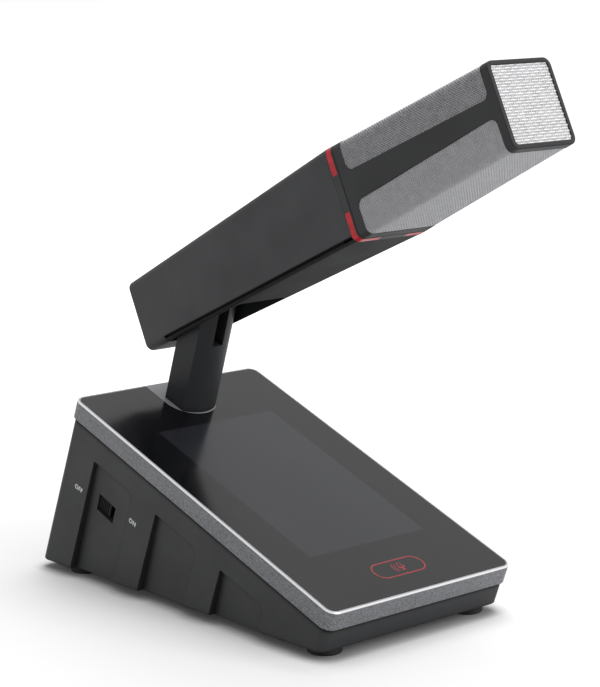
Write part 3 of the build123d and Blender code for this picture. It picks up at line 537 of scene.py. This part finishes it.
def lit_red(name, colour, deep_colour, glow):
    """Red diffuser or red print with the light behind it low."""
    material, tree, shader = start_finish(name, Emission_Strength=glow, Specular_IOR_Level=0.35)
    surface = use_effect(tree, grain, grain_size=0.3 * mm, patch_size=3 * mm)
    red = blend_colour(tree, surface["Shade"], deep_colour, colour)
    link(tree, red, shader.inputs["Base Color"])
    link(tree, red, shader.inputs["Emission Color"])
    gloss = stretch(tree, surface["Shade"], 0.0, 1.0, *diffuser_roughness)
    link(tree, gloss, shader.inputs["Roughness"])
    raise_surface(tree, shader, surface["Height"], depth=0.02 * mm)
    return material


def white_print(name):
    """Pad-printed white ink."""
    material, tree, shader = start_finish(name)
    surface = use_effect(tree, grain, grain_size=0.12 * mm, patch_size=1.0 * mm)
    link(tree, blend_colour(tree, surface["Shade"], ink_thin, ink_full), shader.inputs["Base Color"])
    gloss = stretch(tree, surface["Height"], *wide_noise, *ink_roughness)
    link(tree, gloss, shader.inputs["Roughness"])
    raise_surface(tree, shader, surface["Height"], depth=0.01 * mm)
    return material


def circuit_laminate(name):
    """Green solder mask with a pattern of tracks under it."""
    material, tree, shader = start_finish(name, Coat_Weight=0.3)
    layout = {"Vector": own_place(tree), "Scale": 260.0, "Mortar Size": 0.03}
    tracks = put(tree, "ShaderNodeTexBrick", layout).outputs["Fac"]
    surface = use_effect(tree, grain, grain_size=0.5 * mm, patch_size=8 * mm)
    mask = blend_colour(tree, surface["Shade"], mask_dark, mask_pale)
    link(tree, blend_colour(tree, tracks, mask, track_green), shader.inputs["Base Color"])
    gloss = stretch(tree, surface["Height"], *wide_noise, *mask_roughness)
    link(tree, gloss, shader.inputs["Roughness"])
    raise_surface(tree, shader, tracks, depth=0.03 * mm)
    return material


plastics = {
    "housing_plastic": dict(
        colour=tone(42, 43, 45), worn_colour=tone(64, 65, 68), roughness=0.62,
        grain_size=0.45 * mm, grain_depth=0.05 * mm, seam=painted_shade_under_band,
    ),
    "switch_plastic": dict(
        colour=tone(7, 7, 8), worn_colour=tone(26, 26, 28), roughness=0.6,
        grain_size=0.3 * mm, grain_depth=0.02 * mm, Specular_IOR_Level=0.2,
    ),
    "shell_plastic": dict(
        colour=tone(36, 37, 40), worn_colour=tone(62, 63, 66), roughness=0.6,
        grain_size=0.35 * mm, grain_depth=0.03 * mm,
    ),
    "cover_plastic": dict(
        colour=tone(33, 34, 36), worn_colour=tone(60, 61, 64), roughness=0.75,
        grain_size=0.35 * mm, grain_depth=0.03 * mm, Specular_IOR_Level=0.2,
    ),
    "ring_plastic": dict(
        colour=tone(36, 37, 40), worn_colour=tone(60, 61, 64), roughness=0.6,
        grain_size=0.35 * mm, grain_depth=0.03 * mm,
    ),
    "frame_plastic": dict(
        colour=tone(36, 37, 38), worn_colour=tone(60, 61, 64), roughness=0.6,
        grain_size=0.3 * mm, grain_depth=0.02 * mm, Specular_IOR_Level=0.4,
    ),
    "socket_plastic": dict(
        colour=tone(16, 16, 17), worn_colour=tone(48, 48, 50), roughness=0.4,
        grain_size=0.3 * mm, grain_depth=0.02 * mm,
    ),
    "display_glass": dict(
        colour=tone(30, 31, 35), worn_colour=tone(70, 71, 76), roughness=0.2,
        grain_size=0.6 * mm, grain_depth=0.005 * mm,
    ),
    "washer_polymer": dict(
        colour=tone(190, 186, 172), worn_colour=tone(210, 208, 198), roughness=0.5,
        grain_size=0.3 * mm, grain_depth=0.02 * mm,
    ),
}
metals = {
    "neck_metal": dict(
        colour=tone(46, 47, 49), worn_colour=tone(68, 69, 72), roughness=0.5,
        grain_size=0.3 * mm, grain_depth=0.015 * mm, Metallic=0.0, Specular_IOR_Level=0.2,
    ),
    "bracket_steel": dict(
        colour=tone(60, 61, 64), worn_colour=tone(140, 141, 144), roughness=0.4,
        grain_size=0.4 * mm, grain_depth=0.02 * mm,
    ),
    "bright_steel": dict(
        colour=tone(190, 191, 194), worn_colour=tone(225, 226, 228), roughness=0.22,
        grain_size=0.2 * mm, grain_depth=0.005 * mm,
    ),
    "plate_steel": dict(
        colour=tone(44, 45, 47), worn_colour=tone(100, 101, 104), roughness=0.55,
        grain_size=0.5 * mm, grain_depth=0.04 * mm, Metallic=0.3,
    ),
    "screw_steel": dict(
        colour=tone(120, 121, 124), worn_colour=tone(190, 191, 194), roughness=0.3,
        grain_size=0.2 * mm, grain_depth=0.01 * mm,
    ),
    "capsule_metal": dict(
        colour=tone(176, 177, 180), worn_colour=tone(215, 216, 218), roughness=0.3,
        grain_size=0.2 * mm, grain_depth=0.01 * mm,
    ),
    "contact_gold": dict(
        colour=tone(222, 180, 98), worn_colour=tone(240, 208, 140), roughness=0.25,
        grain_size=0.15 * mm, grain_depth=0.004 * mm,
    ),
}
finishes = {
    **{name: moulded_plastic(name, **values) for name, values in plastics.items()},
    **{name: blasted_metal(name, **values) for name, values in metals.items()},
    "anodised_trim": anodised_band("anodised_trim"),
    "panel_glass": dark_glass("panel_glass"),
    "circuit_board": circuit_laminate("circuit_board"),
    "side_wire": lining_cloth("side_lining_painted_shade", tone(92, 92, 94), tone(130, 130, 133)),
    "front_wire": lining_cloth("front_lining", tone(168, 167, 169), tone(205, 204, 206)),
    "foam": open_foam("foam", tone(42, 42, 44), tone(18, 18, 19)),
    "foot_rubber": foot_rubber("foot_rubber"),
    "red_diffuser": lit_red("red_diffuser", tone(196, 34, 44), tone(166, 26, 36), glow=0.16),
}
# Painted light and shade: the lower window's lining is a lighter copy of the same cloth, and the side
# lining on top the darker copy
lower_lining_painted_light = lining_cloth("lower_lining_painted_light", tone(132, 132, 135), tone(166, 166, 170))
for entry in frame["record"]["subparts"]:
    node = entry["node"]
    part_mesh = cad_parts[node].data
    part_mesh.materials.clear()
    finish = lower_lining_painted_light if node == "bottom_mesh" else finishes[entry["material_slot"]]
    part_mesh.materials.append(finish)

# Painted light and shade: the upper and lower wires are darker and lighter copies of one steel
upper_wire_steel_painted_shade = steel_wire(
    "upper_wire_steel_painted_shade", tone(190, 190, 193), tone(170, 170, 173), roughness=0.45, metallic=0.4
)
lower_wire_steel_painted_light = steel_wire(
    "lower_wire_steel_painted_light", tone(214, 214, 218), tone(198, 198, 202), roughness=0.45, metallic=0.1
)
front_wire_steel = steel_wire(
    "front_wire_steel", tone(246, 245, 246), tone(232, 231, 233), roughness=0.42, metallic=0.4
)
mark_white = white_print("mark_white")
key_red = lit_red("key_red", tone(160, 34, 44), tone(140, 28, 36), glow=0.08)


# Modelling helpers


def pick_only(*pieces):
    """Selects these objects and nothing else; the first is the active one."""
    bpy.ops.object.select_all(action="DESELECT")
    for piece in pieces:
        piece.select_set(True)
    bpy.context.view_layer.objects.active = pieces[0]


def begin(add_primitive, **settings):
    """Adds a primitive with nothing else selected."""
    bpy.ops.object.select_all(action="DESELECT")
    add_primitive(**settings)
    return bpy.context.object


def choose_in_edit(piece, kind, wanted):
    """Enters edit mode and selects the vertices, edges or faces that a test wants."""
    pick_only(piece)
    bpy.ops.object.mode_set(mode="EDIT")
    bpy.ops.mesh.select_mode(type=kind)
    bpy.ops.mesh.select_all(action="DESELECT")
    mesh = bmesh.from_edit_mesh(piece.data)
    chosen = {"VERT": mesh.verts, "EDGE": mesh.edges, "FACE": mesh.faces}[kind]
    for item in chosen:
        item.select = wanted(item)
    mesh.select_flush_mode()
    bmesh.update_edit_mesh(piece.data)


def leave_edit():
    """Goes back to object mode."""
    bpy.ops.object.mode_set(mode="OBJECT")


def delete_in_edit(piece, kind, wanted, deleted):
    """Deletes what a test wants from a piece."""
    choose_in_edit(piece, kind, wanted)
    bpy.ops.mesh.delete(type=deleted)
    leave_edit()


def keep_in_mesh():
    """Moves the chosen piece's place, turn and scale into its mesh."""
    bpy.ops.object.transform_apply(location=True, rotation=True, scale=True)


def settle(piece, place):
    """Moves a finished piece to its place, and keeps that place in its mesh."""
    pick_only(piece)
    piece.matrix_world = place @ piece.matrix_world
    keep_in_mesh()
    return piece


def twin_of(piece):
    """A second piece of the same shape."""
    twin = piece.copy()
    twin.data = piece.data.copy()
    bpy.context.scene.collection.objects.link(twin)
    return twin


def join_as(name, pieces):
    """Makes one named piece of several."""
    pick_only(*pieces)
    if len(pieces) > 1:
        bpy.ops.object.join()
    joined = bpy.context.object
    joined.name = joined.data.name = name
    return joined


def dress(piece, finish, body):
    """Gives a piece its finish and the body it rides on."""
    piece.data.materials.clear()
    piece.data.materials.append(finish)
    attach(piece, body)


def edges_to_wire(piece, radius, roundness=0):
    """Turns every edge of a piece into round wire."""
    pick_only(piece)
    bpy.ops.object.convert(target="CURVE")
    wire = bpy.context.object
    wire.data.bevel_depth = radius
    wire.data.bevel_resolution = roundness
    wire.data.use_fill_caps = True
    bpy.ops.object.convert(target="MESH")
    bpy.ops.object.shade_smooth()
    return bpy.context.object


# Woven wires over the linings of the microphone's windows

side_pitch = 0.76 * mm
side_wire_radius = 0.15 * mm
front_pitch_across = 1.3 * mm
front_pitch_up = 1.2 * mm
front_wire_radius = 0.31 * mm
front_repeat = 4
front_shift = 2
wire_cover = 0.08 * mm
front_cover = 0.2 * mm
over_depth = 1.0
under_depth = 2.5
window_start = 8.6 * mm
window_end = 93.8 * mm
wires_reach = 34.4 * mm
front_wire_margin = 1.2 * mm
grid_side = 2


def woven_wires(name, columns, rows, lay, wire_radius, repeat=2, shift=1):
    """Two sets of crossing wires. The first goes under one wire in each repeat, shifted row by row."""
    sets = []
    for crosswise in (False, True):
        wires = begin(
            bpy.ops.mesh.primitive_grid_add, x_subdivisions=columns, y_subdivisions=rows, size=grid_side
        )

        def belongs_to_other_set(edge):
            run = edge.verts[0].co - edge.verts[1].co
            return (abs(run.x) > abs(run.y)) == crosswise

        delete_in_edit(wires, "EDGE", belongs_to_other_set, "EDGE_FACE")
        for crossing in wires.data.vertices:
            column = round((crossing.co.x / grid_side + 0.5) * columns)
            row = round((crossing.co.y / grid_side + 0.5) * rows)
            first_over = (column + shift * row) % repeat > 0
            crossing.co = lay(column, row, first_over != crosswise)
        sets.append(edges_to_wire(wires, wire_radius))
    return join_as(name, sets)


def wire_inset(over, wire_radius, cover):
    """How far a wire's middle lies under the surface, where it goes over or under another."""
    return cover + wire_radius * (over_depth if over else under_depth)


def round_the_bar(along, around, inset, side):
    """A point at a distance along the bar and round it from the middle of its top or bottom."""
    share = along / head_length
    half = (ring_width + (front_width - ring_width) * share) / 2 - inset
    top = (ring_height + (front_height - ring_height) * share) / 2 - inset
    radius = edge_radius - inset
    flat = half - radius
    turn = (abs(around) - flat) / radius
    if turn <= 0:
        across, height = abs(around), top
    elif turn <= pi / 2:
        across, height = flat + radius * sin(turn), top - radius + radius * cos(turn)
    else:
        across, height = half, top - radius - radius * (turn - pi / 2)
    across = across if around > 0 else -across
    return ring_middle + sideways * across + bar_up * side * height + bar_forward * along


def window_wires(name, side, steel):
    """The wires of the upper (side 1) or lower (side -1) window, wrapped round the bar's edges."""
    columns = round((window_end - window_start) / side_pitch)
    rows = 2 * round(wires_reach / side_pitch)

    def lay(column, row, over):
        along = window_start + column * side_pitch
        around = (row - rows / 2) * side_pitch
        return round_the_bar(along, around, wire_inset(over, side_wire_radius, wire_cover), side)

    wires = woven_wires(name, columns, rows, lay, side_wire_radius)
    dress(wires, steel, "microphone")


def front_wires():
    """The flat mesh in the microphone's front rim: long level wires, held by upright ones."""
    across_reach = front_width - 2 * front_wire_margin
    up_reach = front_height - 2 * front_wire_margin
    columns = round(across_reach / front_pitch_across)
    rows = round(up_reach / front_pitch_up)

    def lay(column, row, over):
        across = (column - columns / 2) * front_pitch_across
        up = (row - rows / 2) * front_pitch_up
        along = head_length - wire_inset(over, front_wire_radius, front_cover)
        return ring_middle + sideways * across + bar_up * up + bar_forward * along

    wires = woven_wires(
        "front_wires", columns, rows, lay, front_wire_radius, repeat=front_repeat, shift=front_shift
    )
    dress(wires, front_wire_steel, "microphone")


window_wires("top_wires", 1, upper_wire_steel_painted_shade)
window_wires("bottom_wires", -1, lower_wire_steel_painted_light)
front_wires()


# The touch key on the glass: an outline, and a microphone with sound waves

key_along = -74.3 * mm
key_length = 28.5 * mm
key_width = 10.3 * mm
key_straight = key_length - key_width
outline_radius = 0.4 * mm
symbol_line_radius = 0.24 * mm
symbol_shift = 1.6 * mm
head_radius = 0.95 * mm
head_stretch = 0.8 * mm
head_lift = 0.9 * mm
cradle_radius = 1.75 * mm
cradle_lift = 0.6 * mm
symbol_bar_width = 0.5 * mm
stem_length = 0.9 * mm
stem_drop = 0.5 * mm
stand_length = 2.2 * mm
stand_drop = 1.1 * mm
near_wave_radius, near_wave_start = 3.2 * mm, 2.2 * mm
far_wave_radius, far_wave_start = 4.6 * mm, 3.4 * mm
ring_corners = 48
ring_line_roundness = 2
beyond_middle = 0.001
eased_share = 0.25
eased_steps = 2
print_flatness = 0.06


def ring_line(radius, line_radius, stretch_x=0.0, stretch_y=0.0, keep=None):
    """A printed line round a circle, drawn out to a long round shape or cut to an arc."""
    ring = begin(bpy.ops.mesh.primitive_circle_add, vertices=ring_corners, radius=radius)
    for shift in (sideways * stretch_x, backwards * stretch_y):
        for step in (shift, -shift):
            if step.length > 0:
                least = beyond_middle * radius * step.length
                choose_in_edit(ring, "VERT", lambda corner: corner.co.dot(step) > least)
                bpy.ops.transform.translate(value=step)
                leave_edit()
    if keep:
        delete_in_edit(ring, "VERT", lambda corner: not keep(corner.co), "VERT")
    return edges_to_wire(ring, line_radius, ring_line_roundness)


def bar_line(length, width, turned=0.0):
    """A short straight printed bar with eased edges."""
    bar = begin(bpy.ops.mesh.primitive_cube_add, size=1)
    bar.scale = (length, width, width)
    bar.rotation_euler.z = turned
    keep_in_mesh()
    eased = bar.modifiers.new("eased", "BEVEL")
    eased.width = eased_share * width
    eased.segments = eased_steps
    bpy.ops.object.modifier_apply(modifier=eased.name)
    return bar


def shift_by(piece, across, up):
    """Moves a flat piece within its own drawing."""
    return settle(piece, Matrix.Translation((across, up, 0)))


def print_on_glass(name, drawn, finish):
    """Flattens drawn lines to a print and lays it on the glass over the key."""
    piece = join_as(name, drawn)
    flat = Matrix.Diagonal((1, 1, print_flatness, 1))
    settle(piece, panel_place @ Matrix.Translation((0, key_along, 0)) @ flat)
    dress(piece, finish, "base")


def key_symbol():
    """The microphone's head, its cradle, stem and stand, and two sound waves beside it."""

    def ring(radius, **shape):
        return ring_line(radius, symbol_line_radius, **shape)

    cradle_foot = cradle_lift - cradle_radius
    drawn = [
        (ring(head_radius, stretch_y=head_stretch), head_lift),
        (ring(cradle_radius, keep=lambda point: point.y < 0), cradle_lift),
        (bar_line(stem_length, symbol_bar_width, pi / 2), cradle_foot - stem_drop),
        (bar_line(stand_length, symbol_bar_width), cradle_foot - stand_drop),
        (ring(near_wave_radius, keep=lambda point: point.x < -near_wave_start), 0),
        (ring(far_wave_radius, keep=lambda point: point.x < -far_wave_start), 0),
    ]
    return [shift_by(piece, symbol_shift, up) for piece, up in drawn]


outline = ring_line(key_width / 2, outline_radius, stretch_x=key_straight / 2)
print_on_glass("key_outline", [outline], key_red)
print_on_glass("key_symbol", key_symbol(), key_red)


# Printed switch marks on the left wall

mark_size = 3.0 * mm
mark_thickness = 0.03 * mm
mark_boldness = 0.1 * mm
mark_letter_spacing = 1.15
off_mark_along, off_mark_depth = 75.9 * mm, 39.5 * mm
on_mark_along, on_mark_depth = 35.9 * mm, 33.6 * mm
left_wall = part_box("lower_housing")[0].x


def switch_mark(name, word, along, depth):
    """A printed word that reads down the slope, on the wall beside the switch."""
    mark = begin(bpy.ops.object.text_add)
    mark.data.body = word
    mark.data.size = mark_size
    mark.data.align_x = "CENTER"
    mark.data.align_y = "CENTER"
    mark.data.extrude = mark_thickness / 2
    mark.data.offset = mark_boldness
    mark.data.space_character = mark_letter_spacing
    bpy.ops.object.convert(target="MESH")
    mark = bpy.context.object
    mark.name = mark.data.name = name
    origin = panel_middle + up_slope * along - off_panel * depth
    origin.x = left_wall - mark_thickness / 2
    settle(mark, axes(origin, -up_slope, off_panel, -sideways))
    dress(mark, mark_white, "base")


switch_mark("switch_mark_off", "OFF", off_mark_along, off_mark_depth)
switch_mark("switch_mark_on", "ON", on_mark_along, on_mark_depth)


# Contacts in the two network sockets

contact_count = 8
contact_pitch = 1.02 * mm
contact_radius = 0.17 * mm
contact_roundness = 1
contact_bend = 1.0 * mm
contact_bend_corners = 20
bend_cut = -0.1 * contact_bend
contact_slant_length = 5.4 * mm
contact_roof_run = 3.0 * mm
contact_slant = radians(24)
near_enough = 0.01 * mm
socket_mouth_height = 8.4 * mm
socket_depth = 17.0 * mm


def spring_contact():
    """A sprung wire: a hook at the socket's mouth, a run along the roof and a slant down inside."""
    wire = begin(
        bpy.ops.mesh.primitive_circle_add, vertices=contact_bend_corners, radius=contact_bend
    )
    delete_in_edit(wire, "VERT", lambda corner: corner.co.x < bend_cut, "VERT")
    slant = Vector((cos(contact_slant), sin(contact_slant), 0))
    end = contact_bend * backwards
    for step in (-contact_roof_run * sideways, -contact_slant_length * slant):
        choose_in_edit(wire, "VERT", lambda corner: (corner.co - end).length < near_enough)
        bpy.ops.mesh.extrude_region_move(TRANSFORM_OT_translate={"value": step})
        leave_edit()
        end = end + step
    return edges_to_wire(wire, contact_radius, contact_roundness)


def socket_contacts(name, socket):
    """The row of contacts under one socket's roof."""
    first = spring_contact()
    row = [first] + [twin_of(first) for _ in range(contact_count - 1)]
    mouth = middle(socket) + up_slope * (socket_depth / 2 - contact_roof_run - contact_bend)
    roof = mouth + off_panel * (socket_mouth_height / 2 - contact_bend - contact_radius)
    for number, contact in enumerate(row):
        across = (number - (contact_count - 1) / 2) * contact_pitch
        settle(contact, axes(roof + sideways * across, up_slope, off_panel, sideways))
    contacts = join_as(name, row)
    dress(contacts, finishes["contact_gold"], "base")


socket_contacts("contacts_left", "network_socket_left")
socket_contacts("contacts_right", "network_socket_right")


# Screws that hold the bottom plate, with a cross recess

screw_head_radius = 2.7 * mm
screw_head_height = 1.2 * mm
screw_head_corners = 40
screw_shank_radius = 1.4 * mm
screw_shank_length = 9.0 * mm
screw_shank_corners = 24
screw_point_share = 0.3
screw_round_over = 0.45 * mm
round_over_steps = 4
recess_length = 2.9 * mm
recess_width = 0.62 * mm
recess_depth = 0.8 * mm
recess_taper = 0.62
rim_height = 0.99 * screw_head_height
facing_down = -0.9
smooth_up_to = radians(35)


def cut_away(piece, cutter):
    """Cuts one piece's space out of another."""
    pick_only(piece)
    cut = piece.modifiers.new("cut", "BOOLEAN")
    cut.operation = "DIFFERENCE"
    cut.solver = "EXACT"
    cut.object = cutter
    bpy.ops.object.modifier_apply(modifier=cut.name)
    bpy.data.objects.remove(cutter)


def upright_rod(corners, radius, length, height):
    """A cylinder on the vertical axis, with its middle at a height."""
    rod = begin(
        bpy.ops.mesh.primitive_cylinder_add,
        vertices=corners,
        radius=radius,
        depth=length,
        location=(0, 0, height),
    )
    keep_in_mesh()
    return rod


def cross_screw():
    """A pan-head screw, its head up, with its seat at the origin."""
    head = upright_rod(
        screw_head_corners, screw_head_radius, screw_head_height, screw_head_height / 2
    )
    choose_in_edit(
        head, "EDGE", lambda edge: all(corner.co.z > rim_height for corner in edge.verts)
    )
    bpy.ops.mesh.bevel(offset=screw_round_over, segments=round_over_steps, affect="EDGES")
    leave_edit()
    for turned in (0.0, pi / 2):
        recess = begin(bpy.ops.mesh.primitive_cube_add, size=1)
        recess.scale = (recess_length, recess_width, 2 * recess_depth)
        recess.rotation_euler.z = turned
        recess.location.z = screw_head_height
        keep_in_mesh()
        choose_in_edit(recess, "FACE", lambda face: face.normal.z < facing_down)
        bpy.ops.transform.resize(value=(recess_taper, recess_taper, 1))
        leave_edit()
        cut_away(head, recess)
    shank = upright_rod(
        screw_shank_corners, screw_shank_radius, screw_shank_length, -screw_shank_length / 2
    )
    choose_in_edit(shank, "FACE", lambda face: face.normal.z < facing_down)
    bpy.ops.mesh.inset(thickness=screw_point_share * screw_shank_radius)
    bpy.ops.transform.translate(value=(0, 0, -screw_shank_radius))
    leave_edit()
    screw = join_as("screw", [head, shank])
    bpy.ops.object.shade_smooth_by_angle(angle=smooth_up_to)
    return screw


def plate_screws():
    """The four screws of the bottom plate, in place of the plain ones."""
    low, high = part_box("bottom_screws")
    seat = low.z + screw_head_height
    pattern = cross_screw()
    screws = []
    for across in (low.x + screw_head_radius, high.x - screw_head_radius):
        for along in (low.y + screw_head_radius, high.y - screw_head_radius):
            place = axes(Vector((across, along, seat)), sideways, -backwards, -upwards)
            screws.append(settle(twin_of(pattern), place))
    bpy.data.objects.remove(pattern)
    fitted = join_as("plate_screws", screws)
    dress(fitted, finishes["screw_steel"], "base")
    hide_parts("bottom_screws")


plate_screws()


# Floor and light

floor_size = 12.0
floor_white = 0.92
floor_bounce = 0.5
# Painted contact shadow on the floor near the unit: its reach, strength and grey
shadow_reach = 8 * mm
shadow_gloom = 0.75
shadow_grey = tone(118, 118, 120)
lift_distances = (0.15, 1.0)
floor_lifts = (0.1, 0.6)
sky_level = 0.52
mirrored_sky_level = 0.85
overhead_place = (0.4, 0.15, 1.5)
overhead_power = 13.0
front_place = (0.5, -1.5, 0.75)
front_power = 12.0
lamp_size = 1.2


def shown_rays(tree):
    """1 for rays that show the surroundings to the camera, straight or in glass and metal."""
    rays = put(tree, "ShaderNodeLightPath").outputs
    reflected = calc(tree, "MAXIMUM", rays["Is Glossy Ray"], rays["Is Transmission Ray"])
    return rays["Is Camera Ray"], reflected


def pale_floor():
    """A white sweep that shows as white, takes the unit's shadow with a painted contact shadow added
    near the unit, and throws little light back up.
    """
    floor = begin(bpy.ops.mesh.primitive_plane_add, size=floor_size)
    floor.name = "floor"
    material, tree, shader = start_finish("floor_white", Roughness=0.85, Specular_IOR_Level=0.1)
    seen, reflected = shown_rays(tree)
    shown = calc(tree, "MAXIMUM", seen, reflected)
    thrown = (floor_bounce, floor_bounce, floor_bounce, 1)
    white = (floor_white, floor_white, floor_white, 1)
    # Painted contact shadow: the floor's colour goes to grey, and its lift drops, where the unit shuts
    # it in
    shut_in = use_effect(tree, painted_crevice_shade, reach=shadow_reach, amount=shadow_gloom)["Painted shade"]
    lit = blend_colour(tree, shut_in, white, shadow_grey)
    link(tree, blend_colour(tree, shown, thrown, lit), shader.inputs["Base Color"])
    distance = put(tree, "ShaderNodeVectorMath", {0: own_place(tree)}, operation="LENGTH")
    open_lift = stretch(tree, distance.outputs["Value"], *lift_distances, *floor_lifts)
    lift = calc(tree, "MULTIPLY", open_lift, calc(tree, "SUBTRACT", 1.0, shut_in))
    shader.inputs["Emission Color"].default_value = (1, 1, 1, 1)
    link(tree, calc(tree, "MULTIPLY", shown, lift), shader.inputs["Emission Strength"])
    floor.data.materials.append(material)


def white_room():
    """Even light from all round, which shows as white to the camera and in reflections."""
    world = bpy.data.worlds.new("white_room")
    bpy.context.scene.world = world
    world.use_nodes = True
    tree = world.node_tree
    seen, reflected = shown_rays(tree)
    mirrored = calc(tree, "MULTIPLY", reflected, mirrored_sky_level)
    background = tree.nodes["Background"]
    background.inputs["Color"].default_value = (1, 1, 1, 1)
    strength = calc(tree, "MAXIMUM", calc(tree, "MAXIMUM", seen, mirrored), sky_level)
    link(tree, strength, background.inputs["Strength"])


def soft_lamp(name, place, power):
    """A large square lamp that looks at the unit."""
    data = bpy.data.lights.new(name, "AREA")
    data.energy = power
    data.size = lamp_size
    lamp = bpy.data.objects.new(name, data)
    bpy.context.scene.collection.objects.link(lamp)
    lamp.location = place
    lamp.rotation_euler = (panel_middle - Vector(place)).to_track_quat("-Z", "Y").to_euler()


pale_floor()
white_room()
soft_lamp("overhead_lamp", overhead_place, overhead_power)
soft_lamp("front_lamp", front_place, front_power)


# The camera stands where the photo was taken from, found from the unit's straight edges

view_azimuth = radians(-42.36)
view_elevation = radians(10.53)
camera_offset = Vector((-0.6666, -0.7384, 0.2468))
camera_data = bpy.data.cameras.new("camera")
camera_data.lens = 119.85
camera = bpy.data.objects.new("camera", camera_data)
bpy.context.scene.collection.objects.link(camera)
camera.location = panel_middle + camera_offset
camera.rotation_euler = (pi / 2 - view_elevation, 0, view_azimuth)
bpy.context.scene.camera = camera
bpy.context.scene.view_settings.view_transform = "Standard"
